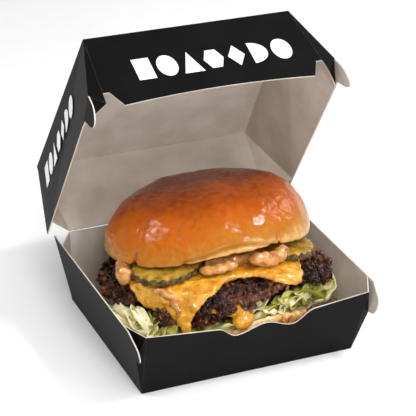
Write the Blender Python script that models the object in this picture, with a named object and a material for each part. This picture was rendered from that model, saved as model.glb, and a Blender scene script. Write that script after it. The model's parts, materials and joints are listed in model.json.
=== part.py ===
"""Burger in an open clamshell box, as Blender solids in metres, +Z up.

The origin is on the table, under the middle of the tray, and -Y is the front. The box is one sheet of
board: a tray and a lid that fold about a score along the tray's back rim. The lid is built shut and
then turned open about that score. The burger leans back in the tray, so its layers are built on a
tilted stack frame whose z = 0 plane is the top of the heel.
"""

from dataclasses import dataclass
from math import atan2, cos, exp, hypot, pi, radians, sin

import bmesh
import bpy
from mathutils import Euler, Matrix, Vector

MM = 0.001

# Board and box, in millimetres. Half widths are measured from the middle plane x = 0.
BOARD = 0.6
HINGE_Y = 50.5
HINGE_Z = 34.2
HINGE_GAP = 0.2
LID_OPEN = radians(59.0)
LID_TOP_Z = 73.0
BACK_FLAP_START = 0.08

# Food, in millimetres.
STACK_ORIGIN = Vector((1.3, 1.0, 13.5))
STACK_LEAN = radians(13.0)
FLOOR_CLEARANCE = 0.9
LAYER_GAP = 0.4
SAG_START = 30.0
SAG_SPAN = 27.0
SAG_DEPTH = 7.5
SAG_SIDE = radians(-85.0)

# Spokes of each layer, and the rings inside its edge: a radius, or a share of the edge's if less.
SEGMENTS = 48
CORE_RINGS = ((30.0, 0.62), (35.0, 0.74), (40.0, 0.86))

HEEL_TOP = 0.0
LETTUCE_TOP = 3.4
LOWER_PATTY_TOP = 11.0
LOWER_CHEESE_TOP = 13.0
UPPER_PATTY_TOP = 22.4
UPPER_CHEESE_TOP = 25.0
SAUCE_TOP = 29.2
CROWN_BASE = 30.4
CROWN_LIP = 1.0
CROWN_HEIGHT = 26.6
CROWN_FULLNESS = 0.6
CROWN_SHIFT = Vector((3.0, 4.7))
CROWN_TURN = radians(1.2)


# ---------------------------------------------------------------- scene and materials


def clear_scene():
    """Remove every object that the file opened with."""
    for old in list(bpy.data.objects):
        bpy.data.objects.remove(old, do_unlink=True)


def finish(name, colour, roughness, metallic=0.0):
    """Return a plain material with the given linear colour."""
    material = bpy.data.materials.new(name)
    material.use_nodes = True
    shader = material.node_tree.nodes["Principled BSDF"]
    shader.inputs["Base Color"].default_value = (*colour, 1.0)
    shader.inputs["Roughness"].default_value = roughness
    shader.inputs["Metallic"].default_value = metallic
    return material


def add_object(name, mesh_builder, material, location=(0.0, 0.0, 0.0), rotation=(0.0, 0.0, 0.0)):
    """Turn a bmesh given in millimetres into a named, placed object."""
    bmesh.ops.scale(mesh_builder, vec=(MM, MM, MM), verts=mesh_builder.verts)
    bmesh.ops.recalc_face_normals(mesh_builder, faces=mesh_builder.faces)
    mesh = bpy.data.meshes.new(name)
    mesh_builder.to_mesh(mesh)
    mesh_builder.free()
    mesh.materials.append(material)
    item = bpy.data.objects.new(name, mesh)
    item.location = location
    item.rotation_euler = rotation
    bpy.context.scene.collection.objects.link(item)
    return item


# ---------------------------------------------------------------- folded board


def rounded(points, radius, steps=4):
    """Round the inner corners of an open 2-D line with short curves."""
    line = [points[0]]
    for before, corner, after in zip(points, points[1:], points[2:]):
        start = corner + (before - corner) * min(0.45, radius / (before - corner).length)
        end = corner + (after - corner) * min(0.45, radius / (after - corner).length)
        for step in range(steps + 1):
            t = step / steps
            line.append(start * (1 - t) ** 2 + corner * 2 * t * (1 - t) + end * t ** 2)
    line.append(points[-1])
    return line


@dataclass
class Shell:
    """One half of the box: a base panel, four walls and a web in each corner.

    base_z and rim_z are heights with the box shut. Each (front, back) pair gives the value at the
    front and at the back. side_rim holds the half widths of the left and right rims at the front,
    and side_flare is how much wider each is at the back. ear holds the (depth, height) corners of the
    flap in front of each front web, and ear_tuck is how far it leans in for each millimetre beyond
    its fold.
    """

    base_z: float
    rim_z: float
    base_half: tuple
    base_y: tuple
    wall_half: tuple
    wall_y: tuple
    side_rim: tuple
    side_flare: float
    side_back_y: float
    web_front_y: float
    web_back_y: float
    ear: tuple
    ear_radius: float = 3.0
    ear_tuck: float = 0.0

    def base_corner(self, side, end):
        """Corner of the base panel; side is -1 left or 1 right, end 0 front or 1 back."""
        return Vector((side * self.base_half[end], self.base_y[end], self.base_z))

    def wall_point(self, end, x, z):
        """Point on the front or back wall at a width and a height."""
        t = (z - self.base_z) / (self.rim_z - self.base_z)
        return Vector((x, self.base_y[end] + (self.wall_y[end] - self.base_y[end]) * t, z))

    def wall_corner(self, side, end):
        """Rim corner of the front or back wall."""
        return self.wall_point(end, side * self.wall_half[end], self.rim_z)

    def fold_point(self, side, z):
        """Point on the fold between the front wall and its web at a height."""
        t = (z - self.base_z) / (self.rim_z - self.base_z)
        return self.base_corner(side, 0).lerp(self.wall_corner(side, 0), t)

    def side_point(self, side, y, z):
        """Point on a side wall at a depth and a height, below the rim too."""
        rim = self.side_rim[0 if side < 0 else 1]
        along = (y - self.base_y[0]) / (self.base_y[1] - self.base_y[0])
        base = self.base_half[0] + (self.base_half[1] - self.base_half[0]) * along
        rim += self.side_flare * along
        t = (z - self.base_z) / (self.rim_z - self.base_z)
        return Vector((side * (base + (rim - base) * t), y, z))

    def ear_point(self, side, y, z):
        """Point on the ear, which leans in about its fold with the side wall."""
        start = Vector(self.ear[0])
        fold = Vector((self.web_front_y, self.rim_z)) - start
        beyond = Vector((y, z)) - start
        across = abs(fold.x * beyond.y - fold.y * beyond.x) / fold.length
        point = self.side_point(side, y, z)
        point.x -= side * self.ear_tuck * across
        return point


def sheet_face(sheet, points):
    """Add one panel, sharing the corners that are already there."""
    corners = []
    for point in points:
        near = [v for v in sheet.verts if (v.co - point).length < 1e-4]
        corners.append(near[0] if near else sheet.verts.new(point))
    sheet.faces.new(corners)


def board_sheet(shell, front_edge, front_notch_z):
    """Lay out the panels of one half of the box as a sheet without thickness.

    front_edge is the free edge of the front wall from left to right. The front wall meets its webs
    up to front_notch_z, and a notch cuts its lower corners away beyond that height.
    """
    sheet = bmesh.new()
    corner = shell.base_corner
    sheet_face(sheet, [corner(-1, 0), corner(1, 0), corner(1, 1), corner(-1, 1)])
    sheet_face(sheet, [corner(1, 0), corner(-1, 0)] + front_edge)
    back = [shell.wall_corner(-1, 1), shell.wall_corner(1, 1)]
    sheet_face(sheet, [corner(1, 1), corner(-1, 1)] + back)
    for side in (-1, 1):
        outline = rounded([Vector(p) for p in shell.ear], shell.ear_radius)
        ear = [shell.ear_point(side, p.x, p.y) for p in outline]
        web_front = shell.side_point(side, shell.web_front_y, shell.rim_z)
        web_back = shell.side_point(side, shell.web_back_y, shell.rim_z)
        ear_back = shell.side_point(side, shell.side_back_y, shell.rim_z)
        flap_low = corner(side, 1).lerp(web_back, BACK_FLAP_START)
        fold = shell.fold_point(side, front_notch_z)
        front_rim = shell.wall_corner(side, 0)
        sheet_face(sheet, [corner(side, 0), ear[0], web_front, web_back, flap_low])
        sheet_face(sheet, [corner(side, 0), flap_low, corner(side, 1)])
        sheet_face(sheet, ear + [web_front])
        sheet_face(sheet, [flap_low, web_back, ear_back])
        sheet_face(sheet, [flap_low, web_back, shell.wall_corner(side, 1)])
        sheet_face(sheet, [corner(side, 1), flap_low, shell.wall_corner(side, 1)])
        lower = [corner(side, 0), ear[0]]
        upper = [ear[0], web_front]
        if (fold - front_rim).length > 1e-3:
            sheet_face(sheet, lower + [fold])
            sheet_face(sheet, upper + [front_rim, fold])
        else:
            sheet_face(sheet, lower + [front_rim])
            sheet_face(sheet, upper + [front_rim])
    return sheet


TRAY = Shell(
    base_z=0.0, rim_z=HINGE_Z - HINGE_GAP,
    base_half=(51.4, 51.4), base_y=(-41.5, 46.1),
    wall_half=(53.4, 51.0), wall_y=(-50.5, HINGE_Y),
    side_rim=(58.8, 60.2), side_flare=0.0, side_back_y=49.4,
    web_front_y=-37.0, web_back_y=39.0,
    ear=((-45.6, 20.5), (-51.2, 21.8), (-52.0, 28.5), (-43.0, HINGE_Z - HINGE_GAP)),
)

LID = Shell(
    base_z=LID_TOP_Z, rim_z=HINGE_Z + HINGE_GAP,
    base_half=(49.7, 54.7), base_y=(-45.8, 52.0),
    wall_half=(52.6, 51.0), wall_y=(-51.6, HINGE_Y),
    side_rim=(60.4, 61.2), side_flare=1.5, side_back_y=49.8,
    web_front_y=-37.0, web_back_y=39.0,
    ear=((-49.6, 41.0), (-52.4, 33.0), (-50.4, 26.4), (-46.0, 26.4), (-40.6, HINGE_Z + HINGE_GAP)),
    ear_radius=4.0, ear_tuck=0.18,
)

# Free edge of the tray's front wall: it falls from both corners to a cut with two thumb dips.
WAVE_MIDDLE_X = 4.0
WAVE_HALF = 23.0
DIP_X = 13.5
DIP_Z = 24.0
HUMP_RISE = 4.0
RIM_FALL = 0.125

# Free edge of the lid's front wall: bowed, shorter in the middle, with the lower corners notched.
LID_EDGE_HALF = 45.0
LID_EDGE_Z = 32.0
LID_EDGE_BOW = 2.2
LID_NOTCH_X = 49.2
LID_NOTCH_Z = 40.4


def tray_edge_height(x):
    """Height of the tray's front edge at a width."""
    straight = TRAY.rim_z - RIM_FALL * (TRAY.wall_half[0] - abs(x))
    from_middle = abs(x - WAVE_MIDDLE_X)
    if from_middle >= WAVE_HALF:
        return straight
    if from_middle <= DIP_X:
        return DIP_Z + HUMP_RISE * (1 + cos(pi * from_middle / DIP_X)) / 2
    t = (from_middle - DIP_X) / (WAVE_HALF - DIP_X)
    return DIP_Z + (straight - DIP_Z) * (1 - cos(pi * t)) / 2


def tray_front_edge():
    """Free edge of the tray's front wall, from left to right."""
    steps = 28
    widths = [WAVE_MIDDLE_X + WAVE_HALF * (2 * k / steps - 1) for k in range(steps + 1)]
    middle = [TRAY.wall_point(0, x, tray_edge_height(x)) for x in widths]
    return [TRAY.wall_corner(-1, 0)] + middle + [TRAY.wall_corner(1, 0)]


def lid_front_edge():
    """Free edge of the lid's front wall, from left to right."""
    notch = [Vector((-LID_NOTCH_X, LID_NOTCH_Z)), Vector((-LID_EDGE_HALF, LID_EDGE_Z))]
    steps = 12
    bow = []
    for k in range(1, steps):
        u = 2 * k / steps - 1
        bow.append(Vector((u * LID_EDGE_HALF, LID_EDGE_Z + LID_EDGE_BOW * (1 - u * u))))
    mirrored = [Vector((-p.x, p.y)) for p in reversed(notch)]
    line = [LID.wall_point(0, p.x, p.y) for p in notch + bow + mirrored]
    return [LID.fold_point(-1, LID_NOTCH_Z)] + line + [LID.fold_point(1, LID_NOTCH_Z)]


def board_solid(name, shell, front_edge, notch_z, material, pivot=None, opening=0.0):
    """Make one half of the box: its sheet, thickened towards the inside of the box."""
    sheet = board_sheet(shell, front_edge, notch_z)
    middle = Vector((0.0, 0.0, (shell.base_z + shell.rim_z) / 2))
    for face in sheet.faces:
        face.normal_update()
        if face.normal.dot(face.calc_center_median() - middle) < 0:
            face.normal_flip()
    bmesh.ops.triangulate(sheet, faces=[f for f in sheet.faces if len(f.verts) > 3])
    origin = pivot or Vector((0.0, 0.0, 0.0))
    bmesh.ops.translate(sheet, verts=sheet.verts, vec=-origin)
    bmesh.ops.scale(sheet, vec=(MM, MM, MM), verts=sheet.verts)
    mesh = bpy.data.meshes.new(name)
    sheet.to_mesh(mesh)
    sheet.free()
    mesh.materials.append(material)
    item = bpy.data.objects.new(name, mesh)
    item.location = origin * MM
    item.rotation_euler = Euler((-opening, 0.0, 0.0))
    bpy.context.scene.collection.objects.link(item)
    thick = item.modifiers.new("board", "SOLIDIFY")
    thick.solidify_mode = "NON_MANIFOLD"
    thick.nonmanifold_thickness_mode = "CONSTRAINTS"
    thick.nonmanifold_boundary_mode = "FLAT"
    thick.thickness = BOARD * MM
    thick.offset = -1.0
    return item


# ---------------------------------------------------------------- food outlines


@dataclass
class Outline:
    """Plan outline of one layer, seen along the stack's axis.

    half_width, front and back are the radii of an ellipse. Each bump is (angle in degrees, width in
    degrees, height), and ripple is the height of the fine waves along the edge.
    """

    half_width: float
    front: float
    back: float
    bumps: tuple = ()
    ripple: float = 0.0
    ripple_turn: float = 0.0

    def radius(self, angle):
        """Distance from the axis to the edge at an angle, with -90 degrees at the front."""
        depth = self.front if sin(angle) < 0 else self.back
        reach = self.half_width * depth / hypot(depth * cos(angle), self.half_width * sin(angle))
        waves = sin(9 * angle + self.ripple_turn) + 0.7 * sin(14 * angle + 2.1 * self.ripple_turn)
        return reach + bump_sum(self.bumps, angle) + self.ripple * waves

    def radii(self):
        """Distance from the axis to the edge for each spoke."""
        return [self.radius(angle) for angle in angles()]


def bump_sum(bumps, angle):
    """Sum of smooth bumps around the axis at an angle."""
    total = 0.0
    for centre, width, height in bumps:
        turn = (angle - radians(centre) + pi) % (2 * pi) - pi
        total += height * exp(-((turn / radians(width)) ** 4))
    return total


def sag(x, y):
    """How far the layers droop below the stack's own planes at a point of the plan."""
    reach = max(0.0, hypot(x, y) - SAG_START) / SAG_SPAN
    facing = (1 + cos(atan2(y, x) - SAG_SIDE)) / 2
    return SAG_DEPTH * facing * reach * reach


def angles():
    """Angles of the spokes that every layer shares."""
    return [2 * pi * k / SEGMENTS for k in range(SEGMENTS)]


def ring(radii, heights, droop=True):
    """One ring of points in the stack frame from a radius and a height for each spoke."""
    points = []
    for angle, radius, height in zip(angles(), radii, heights):
        x = radius * cos(angle)
        y = radius * sin(angle)
        points.append(Vector((x, y, height - (sag(x, y) if droop else 0.0))))
    return points


def flat_ring(outline, share, inset, height, droop=True):
    """Ring at one height whose radius is a share of the outline less an inset."""
    return ring([radius * share - inset for radius in outline.radii()], [height] * SEGMENTS, droop)


def core_rings(edge, height):
    """Rings between the axis and an edge, whose radius is given for each spoke."""
    rings = []
    for radius, share in CORE_RINGS:
        rings.append(ring([min(radius, share * reach) for reach in edge], [height] * SEGMENTS))
    return rings


def skin(rings, bottom, top):
    """Close a stack of rings with a fan at each end."""
    mesh = bmesh.new()
    loops = [[mesh.verts.new(point) for point in points] for points in rings]
    spokes = len(rings[0])
    for lower, upper in zip(loops, loops[1:]):
        for k in range(spokes):
            after = (k + 1) % spokes
            mesh.faces.new((lower[k], lower[after], upper[after], upper[k]))
    for pole, loop in ((bottom, loops[0]), (top, loops[-1])):
        centre = mesh.verts.new(pole)
        for k in range(spokes):
            mesh.faces.new((centre, loop[k], loop[(k + 1) % spokes]))
    return mesh


def stack_object(name, mesh_builder, material, turn=0.0):
    """Add a layer that was built in the stack frame."""
    rotation = (Matrix.Rotation(-STACK_LEAN, 3, "X") @ Matrix.Rotation(-turn, 3, "Y")).to_euler()
    return add_object(name, mesh_builder, material, STACK_ORIGIN * MM, rotation)


def to_stack(point):
    """World point in millimetres, as the stack frame sees it."""
    return Matrix.Rotation(STACK_LEAN, 3, "X") @ (point - STACK_ORIGIN)


# ---------------------------------------------------------------- food layers

# Drips and heaps take this much off their bumps, so that a bump's far tail adds nothing.
BUMP_START = 0.3

HEEL = Outline(46.0, 46.0, 41.0, bumps=((-40, 25, 0.6),))
HEEL_CURL = ((-78, 22, 4.2),)
# Rings of the heel's rim: how far inside the edge, how far below the face, and its share of the curl.
HEEL_RIM = ((0.0, 2.6, 0.7), (1.0, 0.8, 1.0), (1.8, 0.4, 1.0))
HEEL_FACE_INSET = 3.4
HEEL_FLOOR_SHARES = (0.5, 0.86)
HEEL_BELLY = 1.015
LETTUCE = Outline(
    46.5, 44.0, 41.0, bumps=((-150, 26, 9.0), (-24, 18, 5.5), (175, 20, 2.0), (-72, 32, -4.6)),
    ripple=0.5)
LETTUCE_RISE = ((-160, 24, 8.6), (-58, 26, 6.6), (-25, 14, 4.0))
LETTUCE_RIM = 1.2
LETTUCE_FALL = 7.0
LETTUCE_FALL_FROM = 3.0
LETTUCE_FALL_SPAN = 5.0
PATTY_ROOM = 0.7
HEEL_ROOM = 0.8
LOWER_PATTY = Outline(
    46.0, 47.5, 41.0, bumps=((-128, 14, 1.5), (-68, 42, -9.0)), ripple=0.7, ripple_turn=1.0)
UPPER_PATTY = Outline(
    50.0, 49.5, 42.0, bumps=((170, 18, 3.0), (-35, 20, 5.5)), ripple=0.8, ripple_turn=2.4)
LOWER_DRIPS = ((-96, 8, 6.6),)
LOWER_BARE = ((60, 70, 4.0), (-50, 26, 6.0), (-150, 30, 6.0))
UPPER_DRIPS = ((-143, 11, 9.0), (-127, 6, 18.5), (-68, 4, 3.2))
UPPER_BARE = ((-20, 33, 15.0), (172, 26, 9.0), (-93, 14, 7.0), (80, 40, 3.0))
CHEESE_THICK = 2.0
CHEESE_SHORT = 2.8
SAUCE = Outline(38.5, 39.0, 37.0, bumps=((-158, 9, 9.0), (-112, 9, 3.5), (-76, 11, 4.0)), ripple=0.4)
SAUCE_SWELL = ((-110, 10, 1.6), (-74, 12, 3.0))
CROWN = Outline(48.3, 41.8, 38.5)
CROWN_RAISE = ((-88, 36, 3.3),)
CROWN_UNDER = ((0.55, 0.0, 0.0), (1.0, 6.0, 0.0), (1.0, 3.0, 0.4), (1.0, 1.0, 0.6))
CROWN_LATITUDES = (0, 11, 22, 34, 46, 58, 70, 81)
PICKLE_RADIUS = 16.5
PICKLE_THICK = 3.6
PICKLE_SPOKES = 26
PICKLE_RIDGES = 11
PICKLE_RIDGE_HEIGHT = 0.35
PICKLE_EDGE = ((0.7, 0.0), (0.0, 0.25), (0.0, 0.75), (0.7, 1.0))
PICKLES = (("pickle_left", -29.5, -20.6), ("pickle_right", 24.5, -22.0))


def heel():
    """Bottom bun: its top is the stack's base plane, curled up at the front, and it lies on the tray."""
    def floor_ring(share):
        points = []
        for angle in angles():
            reach = HEEL.radius(angle) * share
            world = Vector((reach * cos(angle), reach * sin(angle), FLOOR_CLEARANCE))
            world.x += STACK_ORIGIN.x
            world.y += STACK_ORIGIN.y
            points.append(to_stack(world))
        return points

    floor = [floor_ring(share) for share in HEEL_FLOOR_SHARES]
    curl = [bump_sum(HEEL_CURL, angle) for angle in angles()]
    rim = []
    for inset, depth, share in HEEL_RIM:
        rim.append(ring([r - inset for r in HEEL.radii()], [HEEL_TOP - depth + share * up for up in curl]))
    belly = [low.lerp(high, 0.5) * HEEL_BELLY for low, high in zip(floor[-1], rim[0])]
    rings = floor + [belly] + rim
    rings.append(flat_ring(HEEL, 1.0, HEEL_FACE_INSET, HEEL_TOP))
    rings += core_rings(HEEL.radii(), HEEL_TOP)[::-1]
    pole = to_stack(Vector((STACK_ORIGIN.x, STACK_ORIGIN.y, FLOOR_CLEARANCE)))
    return skin(rings, pole, Vector((0, 0, HEEL_TOP)))


def lettuce():
    """Shredded lettuce as one mass: it hangs down outside the heel and heaps up round the patty."""
    base = HEEL_TOP + LAYER_GAP
    lift = [max(0.0, bump_sum(LETTUCE_RISE, angle) - BUMP_START) for angle in angles()]
    wall = []
    outer = []
    spread = []
    for k, angle in enumerate(angles()):
        around_patty = LOWER_PATTY.radius(angle) + PATTY_ROOM
        heaped = max(lift[k - 1], lift[k], lift[(k + 1) % SEGMENTS]) > 0.0
        reach = LETTUCE.radius(angle)
        outer.append(max(reach, around_patty + LETTUCE_RIM) if heaped else reach)
        wall.append(around_patty if heaped else min(around_patty, reach - LETTUCE_RIM))
        beyond = outer[k] - HEEL.radius(angle) - LETTUCE_FALL_FROM
        spread.append(min(1.0, max(0.0, beyond / LETTUCE_FALL_SPAN)))
    inner = []
    for k, angle in enumerate(angles()):
        hangs = max(spread[k - 1], spread[k], spread[(k + 1) % SEGMENTS]) > 0.0
        clear = HEEL.radius(angle) + HEEL_ROOM
        inner.append(clear if hangs else min(clear, outer[k] - LETTUCE_RIM))
        outer[k] = max(outer[k], inner[k] + LETTUCE_RIM)
    core = [min(i, w) - HEEL_ROOM for i, w in zip(inner, wall)]
    crest = [LETTUCE_TOP + up for up in lift]
    rings = core_rings(core, base) + [
        ring(core, [base] * SEGMENTS),
        ring(inner, [base] * SEGMENTS),
        ring([r + 0.5 for r in inner], [base - (LETTUCE_FALL - 1.0) * s for s in spread]),
        ring([o - 0.4 for o in outer], [base - LETTUCE_FALL * s for s in spread]),
        ring(outer, [base + 0.9 - 3.0 * s for s in spread]),
        ring([o - 0.3 for o in outer], [c - 1.0 - 0.3 * up for c, up in zip(crest, lift)]),
        ring([o + 0.4 * (w - o) for o, w in zip(outer, wall)], crest),
        ring([o + 0.8 * (w - o) for o, w in zip(outer, wall)], crest),
        ring(wall, [LETTUCE_TOP] * SEGMENTS),
        ring(core, [LETTUCE_TOP] * SEGMENTS),
    ] + core_rings(core, LETTUCE_TOP)[::-1]
    return skin(rings, Vector((0, 0, base)), Vector((0, 0, LETTUCE_TOP)))


def patty(outline, bottom, top):
    """Smashed patty: flat faces and a rough rounded edge."""
    thick = top - bottom
    edge = ((1.6, 0.04), (0.3, 0.28), (0.0, 0.55), (0.8, 0.85), (2.6, 1.0))
    rings = core_rings(outline.radii(), bottom)
    rings += [flat_ring(outline, 1.0, inset, bottom + thick * up) for inset, up in edge]
    rings += core_rings(outline.radii(), top)[::-1]
    return skin(rings, Vector((0, 0, bottom)), Vector((0, 0, top)))


def cheese(outline, drips, bare, bottom, top):
    """Melted slice on a patty: it hangs over the edge in the drips and leaves some of it bare."""
    hang = [max(0.0, bump_sum(drips, angle) - BUMP_START) for angle in angles()]
    reach = []
    over = []
    for k, angle in enumerate(angles()):
        nearby = max(hang[k - 1], hang[k], hang[(k + 1) % SEGMENTS])
        over.append(min(1.0, nearby))
        short = CHEESE_SHORT + bump_sum(bare, angle)
        reach.append(outline.radius(angle) - short + over[k] * (short + 0.5))
    lip = [CHEESE_THICK * (0.6 + 0.4 * share) for share in over]
    rings = core_rings(reach, bottom) + [
        ring(reach, [bottom] * SEGMENTS),
        ring([r + 0.05 for r in reach], [bottom - depth for depth in hang]),
        ring([r + 0.6 * t for r, t in zip(reach, lip)], [bottom - 1.08 * depth for depth in hang]),
        ring([r + t for r, t in zip(reach, lip)], [bottom + 0.3 - 0.8 * depth for depth in hang]),
        ring([r + t for r, t in zip(reach, lip)], [top - 1.2] * SEGMENTS),
        ring([r - 0.4 for r in reach], [top] * SEGMENTS),
    ] + core_rings(reach, top)[::-1]
    return skin(rings, Vector((0, 0, bottom)), Vector((0, 0, top)))


def pickle(x, y, radius, bottom, top):
    """Thick pickle slice with a bumpy skin, lying on the cheese."""
    half = radius * 0.5
    rings = []
    for inset, up in ((half, 0.0), *PICKLE_EDGE, (half, 1.0)):
        points = []
        for k in range(PICKLE_SPOKES):
            angle = 2 * pi * k / PICKLE_SPOKES
            ridge = PICKLE_RIDGE_HEIGHT * sin(PICKLE_RIDGES * angle) if inset < half else 0.0
            px = x + (radius - inset + ridge) * cos(angle)
            py = y + (radius - inset + ridge) * sin(angle)
            points.append(Vector((px, py, bottom + (top - bottom) * up - sag(px, py))))
        rings.append(points)
    return skin(rings, Vector((x, y, bottom - sag(x, y))), Vector((x, y, top - sag(x, y))))


def sauce():
    """Pool of sauce between the cheese and the crown, before the pickles are cut out of it."""
    bottom = UPPER_CHEESE_TOP + LAYER_GAP
    thick = SAUCE_TOP - bottom
    edge = ((4.0, 0.0), (0.6, 0.12), (0.0, 0.45), (0.7, 0.8), (4.0, 1.0))
    swell = [bump_sum(SAUCE_SWELL, angle) for angle in angles()]
    rings = core_rings(SAUCE.radii(), bottom)
    for inset, up in edge:
        heights = [bottom + (thick + more) * up for more in swell]
        rings.append(ring([radius - inset for radius in SAUCE.radii()], heights))
    rings += core_rings(SAUCE.radii(), SAUCE_TOP)[::-1]
    return skin(rings, Vector((0, 0, bottom)), Vector((0, 0, SAUCE_TOP)))


def crown():
    """Top bun: a glazed dome whose lower edge droops with the layers under it."""
    profile = list(CROWN_UNDER)
    for latitude in CROWN_LATITUDES:
        share = cos(radians(latitude)) ** CROWN_FULLNESS
        profile.append((share, 0.0, CROWN_LIP + (CROWN_HEIGHT - CROWN_LIP) * sin(radians(latitude))))
    rings = []
    for share, inset, up in profile:
        fraction = up / CROWN_HEIGHT
        points = flat_ring(CROWN, share, inset, CROWN_BASE + up, droop=False)
        for angle, point in zip(angles(), points):
            raised = bump_sum(CROWN_RAISE, angle) * share * share
            point.z += (raised - sag(point.x, point.y)) * (1 - fraction)
            point.x += CROWN_SHIFT.x * fraction
            point.y += CROWN_SHIFT.y * fraction
        rings.append(points)
    top = Vector((*CROWN_SHIFT, CROWN_BASE + CROWN_HEIGHT))
    return skin(rings, Vector((0, 0, CROWN_BASE)), top)


def cut_pickles_from_sauce(pool, material):
    """Take the room of each pickle, with clearance, out of the sauce."""
    bottom = UPPER_CHEESE_TOP
    for name, x, y in PICKLES:
        room = pickle(x, y, PICKLE_RADIUS + 0.5, bottom - 2.0, SAUCE_TOP + 6.0)
        cutter = stack_object("cut_" + name, room, material)
        cutter.hide_render = True
        cutter.display_type = "WIRE"
        cut = pool.modifiers.new("room for " + name, "BOOLEAN")
        cut.operation = "DIFFERENCE"
        cut.solver = "EXACT"
        cut.object = cutter


# ---------------------------------------------------------------- assembly


def build():
    """Make every sub-part of the burger and its box."""
    clear_scene()
    board = finish("black coated board", (0.012, 0.012, 0.012), 0.55)
    bread = finish("bread crumb", (0.62, 0.36, 0.13), 0.8)
    glaze = finish("glazed bun crust", (0.52, 0.16, 0.022), 0.3)
    leaf = finish("lettuce", (0.62, 0.68, 0.25), 0.6)
    meat = finish("seared beef", (0.07, 0.022, 0.013), 0.6)
    melt = finish("melted cheddar", (0.8, 0.36, 0.03), 0.3)
    brine = finish("pickled cucumber", (0.2, 0.2, 0.03), 0.35)
    dressing = finish("burger sauce", (0.75, 0.34, 0.13), 0.25)

    board_solid("tray", TRAY, tray_front_edge(), TRAY.rim_z, board)
    hinge = Vector((0.0, HINGE_Y, HINGE_Z))
    board_solid("lid", LID, lid_front_edge(), LID_NOTCH_Z, board, pivot=hinge, opening=LID_OPEN)

    stack_object("bottom_bun", heel(), bread)
    stack_object("lettuce", lettuce(), leaf)
    stack_object("lower_patty", patty(LOWER_PATTY, LETTUCE_TOP + LAYER_GAP, LOWER_PATTY_TOP), meat)
    lower = cheese(LOWER_PATTY, LOWER_DRIPS, LOWER_BARE, LOWER_PATTY_TOP + LAYER_GAP, LOWER_CHEESE_TOP)
    stack_object("lower_cheese", lower, melt)
    stack_object("upper_patty", patty(UPPER_PATTY, LOWER_CHEESE_TOP + LAYER_GAP, UPPER_PATTY_TOP), meat)
    upper = cheese(UPPER_PATTY, UPPER_DRIPS, UPPER_BARE, UPPER_PATTY_TOP + LAYER_GAP, UPPER_CHEESE_TOP)
    stack_object("upper_cheese", upper, melt)
    for name, x, y in PICKLES:
        bottom = UPPER_CHEESE_TOP + LAYER_GAP
        stack_object(name, pickle(x, y, PICKLE_RADIUS, bottom, bottom + PICKLE_THICK), brine)
    pool = stack_object("sauce", sauce(), dressing)
    cut_pickles_from_sauce(pool, brine)
    stack_object("top_bun", crown(), glaze, turn=CROWN_TURN)


build()
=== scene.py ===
"""Looks of a double cheeseburger in an open clamshell box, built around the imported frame.

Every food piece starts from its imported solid, is skinned finely, and gets the crumb, melt or gloss of
the real thing. The box is its own board with a black coated outside and a pale inside.

Lengths are millimetres and angles degrees, unless a text says otherwise. The stack frame leans with the
burger: z is the stack's axis, and angles round it are 0 at the right and -90 at the front.
"""

from __future__ import annotations

import json
import logging
import math
from dataclasses import dataclass, replace
from enum import Enum
from typing import Callable, Sequence

import bmesh
import bpy
import numpy as np
from mathutils import Matrix, Vector, noise

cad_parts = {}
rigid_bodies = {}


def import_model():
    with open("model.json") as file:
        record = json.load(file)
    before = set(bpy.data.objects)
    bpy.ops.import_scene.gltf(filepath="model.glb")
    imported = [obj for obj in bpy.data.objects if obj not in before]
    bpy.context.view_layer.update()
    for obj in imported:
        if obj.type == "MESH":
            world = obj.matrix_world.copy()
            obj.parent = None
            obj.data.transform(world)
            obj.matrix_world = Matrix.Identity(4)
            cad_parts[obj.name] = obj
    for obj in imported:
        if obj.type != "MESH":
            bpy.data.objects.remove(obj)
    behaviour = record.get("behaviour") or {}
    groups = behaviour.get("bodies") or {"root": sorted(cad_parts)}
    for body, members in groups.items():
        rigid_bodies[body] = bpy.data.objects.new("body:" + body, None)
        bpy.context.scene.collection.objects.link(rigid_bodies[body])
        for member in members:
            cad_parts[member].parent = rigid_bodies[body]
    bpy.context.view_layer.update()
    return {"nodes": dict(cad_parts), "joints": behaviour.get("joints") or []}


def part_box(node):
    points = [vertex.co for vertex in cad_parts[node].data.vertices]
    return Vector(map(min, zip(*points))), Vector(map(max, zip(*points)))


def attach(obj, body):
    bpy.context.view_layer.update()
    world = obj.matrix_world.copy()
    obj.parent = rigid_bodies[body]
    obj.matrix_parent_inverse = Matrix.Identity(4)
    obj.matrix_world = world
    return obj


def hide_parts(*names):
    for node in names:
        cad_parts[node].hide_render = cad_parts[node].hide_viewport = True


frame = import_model()

LOG = logging.getLogger("burger")
MM = 0.001
BASE = "base"
LID = "lid"
FULL_TURN = 6.3

# The burger leans back on its heel, and the lid stands open.
STACK_ORIGIN = Vector((1.3, 1.0, 13.5))
STACK_LEAN = math.radians(13.0)
LID_OPEN = math.radians(59.0)

# The layers sag beyond a reach from the stack's axis, most of all at one side.
SAG_START = 30.0
SAG_SPAN = 27.0
SAG_DEPTH = 7.5
SAG_SIDE = math.radians(-85.0)

Points = np.ndarray
Item = bpy.types.Object
Tree = bpy.types.NodeTree
Socket = bpy.types.NodeSocket
Material = bpy.types.Material


# ------------------------------------------------------------------ mesh helpers


def read(elements: bpy.types.bpy_prop_collection, field: str) -> Points:
    """One vector for each vertex or face of a mesh, as rows of x, y, z."""
    found = np.zeros(len(elements) * 3)
    elements.foreach_get(field, found)
    return found.reshape(-1, 3)


def points_of(item: Item) -> Points:
    """Vertex positions of a mesh object, in metres."""
    return read(item.data.vertices, "co")


def normals_of(item: Item) -> Points:
    """Vertex normals of a mesh object."""
    return read(item.data.vertices, "normal")


def set_points(item: Item, points: Points) -> None:
    """Write vertex positions in metres back to a mesh object."""
    item.data.vertices.foreach_set("co", points.ravel())
    item.data.update()


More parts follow.
